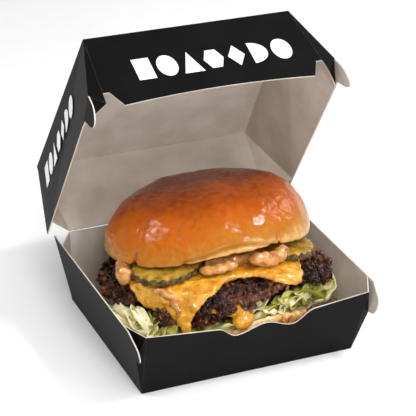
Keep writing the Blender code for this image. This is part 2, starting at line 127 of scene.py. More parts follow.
def attribute_of(item: Item, name: str) -> Points:
    """Stored numbers of a mesh object, one per vertex."""
    found = np.zeros(len(item.data.vertices), dtype=np.float32)
    item.data.attributes[name].data.foreach_get("value", found)
    return found


def set_attribute(item: Item, name: str, values: Points) -> None:
    """Store one number per vertex under a name that a material or a node tree reads."""
    layer = item.data.attributes.get(name) or item.data.attributes.new(name, "FLOAT", "POINT")
    layer.data.foreach_set("value", values.astype(np.float32))


def new_object(name: str, mesh: bpy.types.Mesh) -> Item:
    """Link a mesh to the scene as an object at the origin."""
    item = bpy.data.objects.new(name, mesh)
    bpy.context.scene.collection.objects.link(item)
    return item


def object_from(name: str, builder: bmesh.types.BMesh) -> Item:
    """Turn a bmesh in metres into an object, and free the bmesh."""
    mesh = bpy.data.meshes.new(name)
    builder.to_mesh(mesh)
    builder.free()
    return new_object(name, mesh)


def merged_node(node_name: str) -> bmesh.types.BMesh:
    """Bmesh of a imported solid, with the corners of its loose triangles merged."""
    builder = bmesh.new()
    builder.from_mesh(frame["nodes"][node_name].data)
    bmesh.ops.remove_doubles(builder, verts=builder.verts, dist=MM / 1000)
    bmesh.ops.recalc_face_normals(builder, faces=builder.faces)
    return builder


def settle(item: Item) -> Item:
    """Apply every modifier of an object and leave a plain mesh."""
    graph = bpy.context.evaluated_depsgraph_get()
    graph.update()
    mesh = bpy.data.meshes.new_from_object(item.evaluated_get(graph))
    item.modifiers.clear()
    old = item.data
    item.data = mesh
    mesh.name = item.name
    bpy.data.meshes.remove(old)
    return item


def modified(item: Item, kind: str, **settings: object) -> Item:
    """Add a modifier with its settings, without applying it."""
    modifier = item.modifiers.new(kind.lower(), kind)
    for key, value in settings.items():
        setattr(modifier, key, value)
    return item


def shade_smooth(item: Item) -> None:
    """Shade every face of a mesh object smooth."""
    item.data.polygons.foreach_set("use_smooth", [True] * len(item.data.polygons))
    item.data.update()


def reskin(item: Item, voxel: float, relax: int = 0) -> Item:
    """Give a closed mesh an even skin of small faces.

    Args:
        item: The closed mesh object.
        voxel: Size of the new faces.
        relax: How often the new skin is relaxed.

    Returns:
        The same object.
    """
    modified(item, "REMESH", mode="VOXEL", voxel_size=voxel * MM, use_smooth_shade=True)
    if relax:
        modified(item, "SMOOTH", factor=0.5, iterations=relax)
    return settle(item)


def soft_copy(node_name: str, name: str, voxel: float, relax: int) -> Item:
    """Copy a packed food solid as a smooth form with an even skin.

    Args:
        node_name: The CAD node.
        name: Name of the piece.
        voxel: Size of the skin's faces.
        relax: Relaxing steps.

    Returns:
        The new object.
    """
    builder = merged_node(node_name)
    bmesh.ops.join_triangles(
        builder, faces=builder.faces, angle_face_threshold=0.7, angle_shape_threshold=1.2
    )
    item = modified(object_from(name, builder), "SUBSURF", levels=2, render_levels=2)
    shade_smooth(settle(item))
    return reskin(item, voxel, relax)


def push_out(item: Item, amount: Points) -> None:
    """Move each vertex along its normal by an amount."""
    set_points(item, points_of(item) + normals_of(item) * (amount[:, None] * MM))


def join(name: str, parts: Sequence[Item]) -> Item:
    """Join mesh objects into one new object with the first one's materials, and remove them."""
    builder = bmesh.new()
    finishes = list(parts[0].data.materials)
    for part in parts:
        builder.from_mesh(part.data)
        bpy.data.objects.remove(part)
    item = object_from(name, builder)
    for finish in finishes:
        item.data.materials.append(finish)
    return item


def strip_of(name: str, rows: Sequence[Sequence[Vector]], place: Matrix) -> Item:
    """Make a strip of faces from rows of points.

    Args:
        name: Name of the strip.
        rows: Rows of points across the strip.
        place: Matrix that takes the strip, in metres, to its place.

    Returns:
        The strip as an object.
    """
    builder = bmesh.new()
    grid = [[builder.verts.new(point * MM) for point in row] for row in rows]
    for one, two in zip(grid, grid[1:]):
        for c in range(len(one) - 1):
            builder.faces.new((one[c], one[c + 1], two[c + 1], two[c]))
    bmesh.ops.transform(builder, matrix=place, verts=builder.verts)
    return object_from(name, builder)


def dress(item: Item, body: str, nodes: Sequence[str] = ()) -> None:
    """Hand a finished piece to its body.

    Args:
        item: The finished piece.
        body: The CAD body it rides on.
        nodes: CAD nodes that it stands for.
    """
    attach(item, body)
    if nodes:
        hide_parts(*nodes)
    LOG.info("%s rides on %s: %d faces", item.name, body, len(item.data.polygons))


# ------------------------------------------------------------------ frames and fields


def moved(points: Points, matrix: Matrix) -> Points:
    """Rows of x, y, z taken through a 4 x 4 matrix."""
    grid = np.array(matrix)
    return points @ grid[:3, :3].T + grid[:3, 3]


def stack_matrix() -> Matrix:
    """Matrix from the leaning stack frame to the row frame, both in metres."""
    return Matrix.Translation(STACK_ORIGIN * MM) @ Matrix.Rotation(-STACK_LEAN, 4, "X")


def lid_matrix() -> Matrix:
    """Matrix from the lid as it is when shut to the lid as it stands open, both in metres."""
    hinge = Vector(frame["joints"][0]["pos_m"])
    turn = Matrix.Rotation(-LID_OPEN, 4, "X")
    return Matrix.Translation(hinge) @ turn @ Matrix.Translation(-hinge)


def in_stack(points: Points) -> Points:
    """Points of the row frame in metres, as the stack frame has them in millimetres."""
    return moved(points, stack_matrix().inverted()) / MM


def out_of_stack(local: Points) -> Points:
    """Points of the stack frame in millimetres, as the row frame has them in metres."""
    return moved(local * MM, stack_matrix())


def upward(item: Item, local: Points) -> Points:
    """How far each vertex normal points up the stack, from -1 to 1."""
    return in_stack(points_of(item) + normals_of(item) * MM)[:, 2] - local[:, 2]


def reach_of(local: Points) -> Points:
    """Distance of each point in the stack frame from the stack's axis."""
    return np.hypot(local[:, 0], local[:, 1])


def angle_of(local: Points) -> Points:
    """Angle of each point round the stack's axis, in radians."""
    return np.arctan2(local[:, 1], local[:, 0])


def droop(local: Points) -> Points:
    """How far the layers sag below the stack's own planes at each point."""
    beyond = np.maximum(0.0, reach_of(local) - SAG_START) / SAG_SPAN
    facing = (1 + np.cos(angle_of(local) - SAG_SIDE)) / 2
    return SAG_DEPTH * facing * beyond * beyond


def rim_point(angle: float, reach: float, height: float) -> Vector:
    """Point at an angle, a reach and a height above the sagging layers, in the stack frame."""
    x, y = reach * math.cos(math.radians(angle)), reach * math.sin(math.radians(angle))
    return Vector((x, y, height - float(droop(np.array([[x, y]]))[0])))


def edge_reach(node_name: str, local: Points) -> Points:
    """Reach of a packed layer's outer edge at the angle of each point.

    Args:
        node_name: The CAD node of the layer.
        local: Rows in the stack frame.

    Returns:
        The edge's distance from the stack's axis.
    """
    rim = in_stack(read(frame["nodes"][node_name].data.vertices, "co"))
    bins = np.linspace(-math.pi, math.pi, 49)
    far = [reach_of(rim[np.abs(np.angle(np.exp(1j * (angle_of(rim) - b)))) < 0.07]).max() for b in bins]
    return np.interp(angle_of(local), bins, far)


def ramp(values: Points, start: float | Points, span: float) -> Points:
    """Share that goes from 0 at a start to 1 a span further on, or further down if it is negative."""
    return np.clip((values - start) / span, 0, 1)


def grain(points: Points, size: float, seed: float, detail: int = 2) -> Points:
    """Smooth random numbers, about -1 to 1, that vary over a length.

    Args:
        points: Rows of x, y, z in metres.
        size: Length of one bump.
        seed: Shift that makes this field differ from others.
        detail: Number of octaves.

    Returns:
        One number for each row.
    """
    scaled = points / (size * MM) + seed * 17.3
    return np.array([noise.fractal(Vector(row), 1.0, 2.0, detail) for row in scaled])


@dataclass(frozen=True)
class Bumps:
    """Random relief: length and height of its bumps, its seed and its octaves."""

    size: float
    height: float
    seed: float
    detail: int = 2

    def at(self, points: Points) -> Points:
        """Height at each point in metres, about -height to height."""
        return self.height * grain(points, self.size, self.seed, self.detail)

    def ridges(self, points: Points) -> Points:
        """Sharp ridges of height 1, with hollows between them that are deeper by about the height."""
        return 1 - self.height * np.abs(grain(points, self.size, self.seed, self.detail))


@dataclass(frozen=True)
class Sector:
    """Smooth amount at one side of the stack: its angle, its half width and how much there is."""

    angle: float
    width: float
    amount: float = 1.0

    def at(self, local: Points, widened: float = 1.0) -> Points:
        """Amount at each point of the stack frame, fading out to both sides."""
        turn = (np.degrees(angle_of(local)) - self.angle + 180.0) % 360.0 - 180.0
        return self.amount * np.exp(-((turn / (widened * self.width)) ** 2))


@dataclass(frozen=True)
class Drop:
    """Swollen bead at a layer's edge.

    fall is how far it hangs below the layer's own plane, and size holds its three radii: along the edge,
    outwards and up.
    """

    angle: float
    reach: float
    fall: float
    size: tuple = (3.0, 1.8, 2.4)

    def shape(self, plane: float) -> Item:
        """Make the bead, to be melted into a piece by a new skin, under a plane of the stack frame."""
        along = Matrix.Rotation(math.radians(self.angle) + math.pi / 2, 4, "Z")
        centre = rim_point(self.angle, self.reach, plane - self.fall)
        place = stack_matrix() @ Matrix.Translation(centre * MM) @ along
        place = place @ Matrix.Diagonal((*(Vector(self.size) * MM), 1.0))
        builder = bmesh.new()
        bmesh.ops.create_icosphere(builder, subdivisions=3, radius=1.0, matrix=place)
        return object_from("bead", builder)


# ------------------------------------------------------------------ nodes and materials


def linear(code: str) -> tuple[float, float, float, float]:
    """Linear red, green, blue and alpha of an sRGB hex code such as "#a04d14"."""
    values = [int(code[k : k + 2], 16) / 255 for k in (1, 3, 5)]
    made = [v / 12.92 if v <= 0.04045 else ((v + 0.055) / 1.055) ** 2.4 for v in values]
    return (*made, 1.0)


def feed(tree: Tree, node: bpy.types.Node, inputs: dict) -> None:
    """Give each input of a node, by name or number, its value or the socket that feeds it."""
    for key, value in inputs.items():
        if isinstance(value, Socket):
            tree.links.new(value, node.inputs[key])
        else:
            node.inputs[key].default_value = value


def add_node(
    tree: Tree, kind: str, inputs: dict, stops: Sequence[tuple[float, str]] = (), **settings: object
) -> bpy.types.Node:
    """Add a node with its settings and links.

    Args:
        tree: The node tree.
        kind: Blender's node type name.
        inputs: Input name or number to a value or to the output socket that feeds it.
        stops: Positions and hex colours of a colour ramp, in rising order.
        **settings: Properties of the node.

    Returns:
        The new node.
    """
    made = tree.nodes.new(kind)
    for key, value in settings.items():
        setattr(made, key, value)
    for _ in stops[2:]:
        made.color_ramp.elements.new(0.5)
    for number, (position, code) in enumerate(stops):
        made.color_ramp.elements[number].position = position
        made.color_ramp.elements[number].color = linear(code)
    feed(tree, made, inputs)
    return made


def cloud(tree: Tree, size: float, detail: float) -> Socket:
    """Noise on Object coordinates.

    Args:
        tree: The node tree.
        size: Size of one patch.
        detail: Octaves.

    Returns:
        The factor socket.
    """
    place = add_node(tree, "ShaderNodeTexCoord", {}).outputs["Object"]
    inputs = {"Vector": place, "Scale": 1 / (size * MM), "Detail": detail}
    return add_node(tree, "ShaderNodeTexNoise", inputs).outputs["Fac"]


def attribute_plus_cloud(tree: Tree, name: str, size: float, detail: float, spread: float) -> Socket:
    """Number stored on the piece, plus or minus a spread that drifts in clouds of a size."""
    stored = add_node(tree, "ShaderNodeAttribute", {}, attribute_name=name).outputs["Fac"]
    clouds = cloud(tree, size, detail)
    limits = {"From Min": 0.3, "From Max": 0.7, "To Min": -spread, "To Max": spread}
    drift = add_node(tree, "ShaderNodeMapRange", {"Value": clouds, **limits}).outputs[0]
    return add_node(tree, "ShaderNodeMath", {0: stored, 1: drift}, operation="ADD").outputs[0]


@dataclass(frozen=True)
class Finish:
    """Finish whose colour wanders between the stops' tones in patches, over a fine relief.

    Where wet_low is given, the roughness falls to it in wet spots, whose size is wet_share of a patch.
    """

    name: str
    stops: tuple
    patch: float = 4.0
    detail: float = 4.0
    roughness: float = 0.5
    ior: float = 1.45
    specular: float = 0.5
    coat: float = 0.0
    coat_roughness: float = 0.1
    subsurface: float = 0.0
    subsurface_reach: float = 1.0
    bump_size: float = 1.0
    bump_depth: float = 0.2
    bump_detail: float = 4.0
    wet_low: float | None = None
    wet_share: float = 0.6
    wet_band: tuple[float, float] = (0.35, 0.65)

    def tone(self, tree: Tree) -> Socket:
        """Number that picks the colour between the stops."""
        return cloud(tree, self.patch, self.detail)

    def dullness(self, tree: Tree, tone: Socket) -> Socket | float:
        """Roughness: one number, or lower in wet spots."""
        if self.wet_low is None:
            return self.roughness
        low, high = self.wet_band
        inputs = {
            "Value": cloud(tree, self.patch * self.wet_share, 2.0),
            "From Min": low,
            "From Max": high,
            "To Min": self.wet_low,
            "To Max": self.roughness,
        }
        return add_node(tree, "ShaderNodeMapRange", inputs).outputs[0]

    def material(self) -> Material:
        """Make the material."""
        material = bpy.data.materials.new(self.name)
        material.use_nodes = True
        tree = material.node_tree
        tone = self.tone(tree)
        colour = add_node(tree, "ShaderNodeValToRGB", {"Fac": tone}, stops=self.stops)
        height = cloud(tree, self.bump_size, self.bump_detail)
        bump = add_node(tree, "ShaderNodeBump", {"Height": height, "Distance": self.bump_depth * MM})
        inputs = {
            "Base Color": colour.outputs["Color"],
            "Roughness": self.dullness(tree, tone),
            "IOR": self.ior,
            "Specular IOR Level": self.specular,
            "Coat Weight": self.coat,
            "Coat Roughness": self.coat_roughness,
            "Subsurface Weight": self.subsurface,
            "Subsurface Radius": (1.0, 0.5, 0.25),
            "Subsurface Scale": self.subsurface_reach * MM,
            "Normal": bump.outputs["Normal"],
            "Coat Normal": bump.outputs["Normal"],
        }
        feed(tree, tree.nodes["Principled BSDF"], inputs)
        return material


@dataclass(frozen=True)
class Board(Finish):
    """Folding board or paper: nearly flat colour with faint broad clouds and a relief of fibres."""

    patch: float = 14.0
    detail: float = 3.0
    bump_size: float = 0.35
    bump_depth: float = 0.01
    bump_detail: float = 2.0


@dataclass(frozen=True)
class Glazed(Finish):
    """Glazed crust: the piece's own bake, with painted light and shade added to it, picks its colour, and
    the pale bare skin is duller.
    """

    bare_roughness: float = 0.55
    bare_until: float = 0.4

    def tone(self, tree: Tree) -> Socket:
        """Bake with its painted light and shade, a little mottled."""
        return attribute_plus_cloud(tree, "bake", 3.2, 5.0, 0.1)

    def dullness(self, tree: Tree, tone: Socket) -> Socket:
        """Roughness that falls as the bake deepens."""
        limits = {"From Max": self.bare_until, "To Min": self.bare_roughness, "To Max": self.roughness}
        return add_node(tree, "ShaderNodeMapRange", {"Value": tone, "From Min": 0.0, **limits}).outputs[0]


@dataclass(frozen=True)
class Toned(Finish):
    """Food with its own "tone" at every point or small piece, which drifts by a spread."""

    spread: float = 0.25
    bump_detail: float = 3.0
    wet_share: float = 1.7
    wet_band: tuple[float, float] = (0.38, 0.62)

    def tone(self, tree: Tree) -> Socket:
        """The piece's tone with its drift."""
        return attribute_plus_cloud(tree, "tone", self.patch, 3.0, self.spread)


# Matt black coating on folding board: near black, with a faint broad sheen.
COATED = Board(
    "black coated folding board", ((0.3, "#090909"), (0.7, "#0e0e0e")),
    roughness=0.55, specular=0.1, bump_depth=0.02,
)
# Uncoated inside of the board: warm pale grey with faint fibre clouds.
INSIDE = Board(
    "bare inside of folding board", ((0.3, "#bcb1a4"), (0.7, "#cfc5ba")),
    roughness=0.8, specular=0.2, bump_depth=0.03,
)
# Cut edges and scores, where the pale core shows through the coating.
CORE = Board(
    "cut edge of folding board", ((0.3, "#b3a89d"), (0.7, "#d2c9c0")), roughness=0.85, specular=0.2
)
# White ink printed on the coating.
INK = Board("white printing ink", ((0.3, "#f0f0ee"), (0.7, "#f7f7f5")), roughness=0.5, specular=0.3)
# Roll of matt white paper under the box: even and shadowed, without gloss.
PAPER = Board("white studio paper", ((0.3, "#f4f4f4"), (0.7, "#f6f6f6")), roughness=0.9, bump_size=2.0)
# Egg wash baked on: pale at the lower edge, deep orange brown on top, with a thin clear lumpy shine.
CRUST = Glazed(
    "egg glazed brioche crust",
    (
        (0.0, "#c39555"), (0.12, "#ab742c"), (0.28, "#a96416"), (0.46, "#b0570a"), (0.70, "#9e4606"),
        (1.0, "#692904"),
    ),
    roughness=0.45, specular=0.05, coat=0.55, coat_roughness=0.05, bump_size=1.8,
)
# Toasted bun: tan skin with cream flecks where the crumb shows.
TOAST = Toned(
    "toasted bun crumb",
    ((0.0, "#93591f"), (0.3, "#c18a48"), (0.55, "#dfb272"), (0.8, "#f2dbaa"), (1.0, "#f8ebc9")),
    roughness=0.75, specular=0.3, patch=3.0, spread=0.28, bump_size=1.3, bump_depth=0.5, wet_low=0.45,
)
# Melted processed cheese: deep amber yellow, wet and slightly see-through.
MELT = Finish(
    "melted cheddar slice", ((0.3, "#ad6b0d"), (0.46, "#cf8e1d"), (0.62, "#dda332"), (0.8, "#eac067")),
    roughness=0.34, coat=1.0, coat_roughness=0.06, subsurface=0.15, subsurface_reach=1.5, patch=6.0,
    bump_size=2.6, bump_depth=0.1, wet_low=0.12,
)
# Thick bead of the same cheese, a little more see-through; its brighter yellow stops are painted light, a
# lit copy of the melt.
BEAD = replace(
    MELT, name="melted cheddar bead", subsurface=0.3,
    stops=((0.3, "#c98815"), (0.5, "#dd9d20"), (0.66, "#e9b134"), (0.8, "#f2c968")),
)
# Seared ground beef: charred dark bits, brown and pinkish brown bits, with wet fat; its darkest tones also
# serve as painted shade in the gaps between lumps.
SEARED = Toned(
    "seared ground beef",
    ((0.0, "#0b0201"), (0.28, "#200b04"), (0.52, "#3f1d0d"), (0.78, "#653721"), (1.0, "#935e45")),
    roughness=0.55, specular=0.25, coat=0.35, coat_roughness=0.06, patch=1.6, spread=0.18,
    bump_size=0.7, wet_low=0.2,
)
# Shredded iceberg lettuce: from cream white ribs to yellow green leaf, thin enough to let light in.
LEAF = Toned(
    "shredded iceberg lettuce", ((0.0, "#f6efd6"), (0.35, "#e9e0ab"), (0.68, "#c9c158"), (1.0, "#93962f")),
    roughness=0.4, subsurface=0.05, spread=0.18, bump_size=1.4, bump_depth=0.3, wet_low=0.3,
)
# Pickled cucumber flesh: see-through yellow olive.
BRINED = Finish(
    "pickled cucumber flesh", ((0.3, "#7d5c17"), (0.5, "#a27d26"), (0.7, "#c49f42")),
    roughness=0.3, subsurface=0.2, subsurface_reach=1.5, patch=5.0, bump_size=1.5, wet_low=0.15,
)
# Pickled cucumber skin: dark bumpy olive brown.
RIND = Finish(
    "pickled cucumber skin", ((0.3, "#2c1e08"), (0.5, "#4c370f"), (0.72, "#7a6020")),
    roughness=0.35, patch=2.6, bump_size=1.2, bump_depth=0.35, wet_low=0.2,
)
# Burger sauce: peach tan emulsion, wet and glossy.
SAUCE = Finish(
    "burger sauce", ((0.3, "#985d23"), (0.5, "#bb7d3b"), (0.7, "#dbaa6f")),
    roughness=0.22, subsurface=0.2, subsurface_reach=1.5, patch=3.5, coat=0.9, coat_roughness=0.05,
    bump_size=1.8, bump_depth=0.05,
)


# ------------------------------------------------------------------ scattering


SOCKET_KINDS = {
    float: "NodeSocketFloat",
    int: "NodeSocketInt",
    bpy.types.Material: "NodeSocketMaterial",
    bpy.types.Collection: "NodeSocketCollection",
}


@dataclass
class Scatter:
    """Geometry Nodes tree that strews instances over a mesh where its "rim" attribute says.

    sizes holds the tree's named inputs, Spacing, Seed and Material among them. A subclass gives the
    instances in pieces() and the number that each one keeps in number(), under the name in label.
    """

    name: str
    sizes: dict[str, object]
    label: str
    density: float

    def __post_init__(self) -> None:
        """Start the tree with its inputs."""
        self.tree = bpy.data.node_groups.new(self.name, "GeometryNodeTree")
        face = self.tree.interface
        face.new_socket("Geometry", in_out="INPUT", socket_type="NodeSocketGeometry")
        for label, value in self.sizes.items():
            face.new_socket(label, in_out="INPUT", socket_type=SOCKET_KINDS[type(value)])
        face.new_socket("Geometry", in_out="OUTPUT", socket_type="NodeSocketGeometry")
        self.given = self.tree.nodes.new("NodeGroupInput").outputs

    def add(self, kind: str, inputs: dict, output: int | str = 0, **settings: object) -> Socket:
        """Add a node to the tree, and return its output of that number or name."""
        return add_node(self.tree, kind, inputs, **settings).outputs[output]

    def pieces(self) -> dict:
        """Inputs of Instance on Points: what is strewn, how it is turned and how large."""
        raise NotImplementedError

    def number(self) -> Socket:
        """Number that each instance keeps."""
        raise NotImplementedError

    def finished(self, strewn: Socket) -> Socket:
        """Last touch on the realized instances; here none."""
        return strewn

    def run(self, item: Item) -> Item:
        """Run the tree on an object, which keeps the strewn pieces as its plain mesh."""
        inputs = {
            "Mesh": self.given["Geometry"],
            "Distance Min": self.given["Spacing"],
            "Density Max": self.density,
            "Density Factor": self.add(
                "GeometryNodeInputNamedAttribute", {"Name": "rim"}, data_type="FLOAT"
            ),
            "Seed": self.given["Seed"],
        }
        points = self.add("GeometryNodeDistributePointsOnFaces", inputs, distribute_method="POISSON")
        placed = self.add("GeometryNodeInstanceOnPoints", {"Points": points, **self.pieces()})
        inputs = {"Geometry": placed, "Name": self.label, "Value": self.number()}
        kept = self.add("GeometryNodeStoreNamedAttribute", inputs, data_type="FLOAT", domain="INSTANCE")
        strewn = self.finished(self.add("GeometryNodeRealizeInstances", {"Geometry": kept}))
        inputs = {"Geometry": strewn, "Material": self.given["Material"]}
        done = self.add("GeometryNodeSetMaterial", inputs)
        self.tree.links.new(done, self.tree.nodes.new("NodeGroupOutput").inputs[0])
        modifier = item.modifiers.new(self.name, "NODES")
        modifier.node_group = self.tree
        for socket in self.tree.interface.items_tree:
            if socket.in_out == "INPUT" and socket.name in self.sizes:
                modifier[socket.identifier] = self.sizes[socket.name]
        return settle(item)


class CrumbScatter(Scatter):
    """Rough crumbs, each a dented ball with the tone of the place under it."""

    def pieces(self) -> dict:
        """Balls of random size and stretch, turned any way."""
        bounds = {2: self.given["Smallest"], 3: self.given["Largest"], "Seed": self.given["Seed"]}
        size = self.add("FunctionNodeRandomValue", bounds, 1, data_type="FLOAT")
        bounds = {0: (0.6, 0.6, 0.6), 1: (1.7, 1.1, 1.1)}
        stretch = self.add("FunctionNodeRandomValue", bounds, data_type="FLOAT_VECTOR")
        turns = {0: (0, 0, 0), 1: (FULL_TURN, FULL_TURN, FULL_TURN)}
        scale = {0: stretch, "Scale": size}
        return {
            "Instance": self.add(
                "GeometryNodeMeshIcoSphere", {"Radius": 1.0, "Subdivisions": self.given["Detail"]}
            ),
            "Rotation": self.add("FunctionNodeRandomValue", turns, data_type="FLOAT_VECTOR"),
            "Scale": self.add("ShaderNodeVectorMath", scale, operation="SCALE"),
        }

    def number(self) -> Socket:
        """Tone of the core below, a little lighter or darker."""
        bounds = {2: -0.2, 3: 0.2, "Seed": 7}
        own = self.add("FunctionNodeRandomValue", bounds, 1, data_type="FLOAT")
        below = self.add("GeometryNodeInputNamedAttribute", {"Name": "tone"}, data_type="FLOAT")
        return self.add("ShaderNodeMath", {0: below, 1: own}, operation="ADD")

    def finished(self, strewn: Socket) -> Socket:
        """Dent the balls by noise, and shade them smooth."""
        where = self.add("GeometryNodeInputPosition", {})
        inputs = {"Vector": where, "Scale": 480.0, "Detail": 2.0}
        wobble = self.add("ShaderNodeTexNoise", inputs, "Color")
        centred = self.add("ShaderNodeVectorMath", {0: wobble, 1: (0.5, 0.5, 0.5)}, operation="SUBTRACT")
        inputs = {0: centred, "Scale": self.given["Roughness"]}
        shift = self.add("ShaderNodeVectorMath", inputs, operation="SCALE")
        rough = self.add("GeometryNodeSetPosition", {"Geometry": strewn, "Offset": shift})
        return self.add("GeometryNodeSetShadeSmooth", {"Geometry": rough, "Shade Smooth": True})


class ShredScatter(Scatter):
    """Lettuce shreds picked at random from a collection, lying nearly flat."""

    def pieces(self) -> dict:
        """Shreds turned any way about the vertical, and tipped a little."""
        source = {"Collection": self.given["Shreds"], "Separate Children": True}
        tip = 0.6
        turns = {0: (-tip, -tip, 0.0), 1: (tip, tip, FULL_TURN), "Seed": self.given["Seed"]}
        return {
            "Instance": self.add("GeometryNodeCollectionInfo", source),
            "Pick Instance": True,
            "Rotation": self.add("FunctionNodeRandomValue", turns, data_type="FLOAT_VECTOR"),
            "Scale": self.add("FunctionNodeRandomValue", {2: 0.6, 3: 1.05}, 1, data_type="FLOAT"),
        }

    def number(self) -> Socket:
        """Share of green leaf, as against pale rib."""
        bounds = {2: 0.0, 3: 0.7, "Seed": 3}
        return self.add("FunctionNodeRandomValue", bounds, 1, data_type="FLOAT")


# ------------------------------------------------------------------ food


@dataclass(frozen=True)
class TopBun:
    """Glazed brioche crown with soft dents, pinched creases, a folded skirt and a blistered shine.

    base and height say where the crown stands in the stack frame, and edge_rise how much higher its lower
    edge is at the front. band is the zone above that edge that is creased. Each skirt fold has a rise above
    the skirt, a half width and a height. unroll takes angle and height to the wrinkles' own plane.
    """

    base: float = 30.4
    height: float = 26.6
    edge_rise: Sector = Sector(-88.0, 36.0, 3.3)
    dents: tuple[Bumps, ...] = (Bumps(24.0, 0.7, 1.0), Bumps(7.0, 0.25, 2.0))
    band: float = 9.0
    creases: tuple[Sector, ...] = (
        Sector(-159.5, 1.9, 2.4), Sector(-65.0, 1.7, 2.0), Sector(-98.0, 2.2, 0.5), Sector(-128.0, 2.0, 0.6),
    )
    wrinkles: Bumps = Bumps(1.6, 0.5, 4.0, 3)
    unroll: tuple[float, float] = (9.0, 0.9)
    skirt: Sector = Sector(-97.0, 29.0, 3.6)
    skirt_folds: tuple = ((0.0, 0.7, -1.1), (1.6, 0.9, 0.7))
    blister_zones: Bumps = Bumps(16.0, 1.6, 6.0)
    blisters: Bumps = Bumps(2.6, 2.0, 7.0, 1)
    blister_height: float = 0.34
    blister_full: float = 6.0
    # Painted light and shade: the crust is paler at the right side, where the key lamp falls, and darker at
    # the left side, away from it.
    pale_side: Sector = Sector(-22.0, 34.0, 0.20)
    dark_side: Sector = Sector(-150.0, 40.0, 0.14)
    mottle: tuple[Bumps, ...] = (Bumps(16.0, 0.09, 5.0), Bumps(5.0, 0.06, 8.0))
    # Painted shade: how much darker the crust is made inside the creases.
    crease_bake: float = 0.12
    skirt_paleness: float = 0.22

    def relief(self, place: Points, local: Points, height: Points) -> Points:
        """Sum of every dent, crease, wrinkle, fold and blister.

        Args:
            place: The smooth crown's points in metres.
            local: The same points in the stack frame.
            height: Height of each point above the crown's lower edge.

        Returns:
            Amount outwards for each point.
        """
        low = np.clip(1 - height / self.band, 0, 1)
        swell = sum(dent.at(place) for dent in self.dents)
        for crease in self.creases:
            swell -= crease.at(local) * np.clip(1.3 * low, 0, 1)
        around, up = self.unroll
        unrolled = np.column_stack((angle_of(local) * around, height * up, np.zeros(len(height))))
        swell += low * self.wrinkles.at(unrolled * MM)
        skirt = self.skirt.at(local)
        for rise, width, tall in self.skirt_folds:
            swell += tall * np.exp(-(((height - skirt - rise) / width) ** 2)) * (skirt > 1.0)
        zones = np.clip(0.5 + self.blister_zones.at(place), 0, 1)
        fade = np.clip(height / self.blister_full, 0.2, 1)
        return swell + self.blister_height * zones * self.blisters.ridges(place) * fade

    def bake(self, place: Points, local: Points, height: Points) -> Points:
        """How far each point is baked, from pale at 0 to dark at 1, plus painted shade in the creases, a
        painted lit right side and a painted shaded left side; arguments as for relief.
        """
        bake = height / self.height
        # Painted light and shade: paler towards the right side, darker towards the left side.
        bake -= self.pale_side.at(local) * np.clip(1.2 - bake, 0, 1)
        bake += self.dark_side.at(local) * np.clip(1 - bake, 0, 1)
        bake += sum(spot.at(place) for spot in self.mottle)
        # Painted shade: darker in the creases near the lower edge.
        for crease in self.creases:
            bake += self.crease_bake * crease.at(local, 1.6) * np.clip(1 - height / self.band, 0, 1)
        bake -= self.skirt_paleness * np.clip(self.skirt.at(local) - height, 0, 1)
        return np.clip(bake, 0, 1)

    def build(self) -> None:
        """Make the crown."""
        item = soft_copy("top_bun", "glazed_top_bun", 0.6, 8)
        local = in_stack(points_of(item))
        height = local[:, 2] - (self.base - droop(local) + self.edge_rise.at(local))
        push_out(item, self.relief(points_of(item), local, height))
        # The stored bake carries painted light and shade as well as the real bake.
        set_attribute(item, "bake", self.bake(points_of(item), local, height))
        item.data.materials.append(CRUST.material())
        dress(item, BASE, ["top_bun"])


@dataclass(frozen=True)
class BottomBun:
    """Heel of the bun: brown crust outside, cream crumb on the cut face and along its curled rim."""

    lumps: tuple[Bumps, ...] = (Bumps(9.0, 0.45, 11.0), Bumps(2.6, 0.35, 12.0))
    face_depth: float = 3.0
    curl: Sector = Sector(-76.0, 24.0, 1.6)
    curl_from: float = 33.0
    curl_span: float = 5.0
    crumb_reach: float = 48.0
    crumb_fade: float = 6.0
    flecks: Bumps = Bumps(6.0, 0.2, 13.0)

    def build(self) -> None:
        """Make the heel, with its cut face curled up at the front."""
        item = soft_copy("bottom_bun", "toasted_heel", 0.7, 4)
        place = points_of(item)
        push_out(item, sum(lump.at(place) for lump in self.lumps))
        local = in_stack(points_of(item))
        facing = upward(item, local)
        reach = reach_of(local)
        high = local[:, 2] > -self.face_depth
        local[:, 2] += self.curl.at(local) * high * ramp(reach, self.curl_from, self.curl_span)
        set_points(item, out_of_stack(local))
        face = np.clip(0.5 + 1.6 * facing, 0, 1) * high
        inward = ramp(reach, self.crumb_reach, -self.crumb_fade)
        set_attribute(item, "tone", 0.12 + face * (0.45 + 0.25 * inward) + self.flecks.at(place))
        item.data.materials.append(TOAST.material())
        dress(item, BASE, ["bottom_bun"])


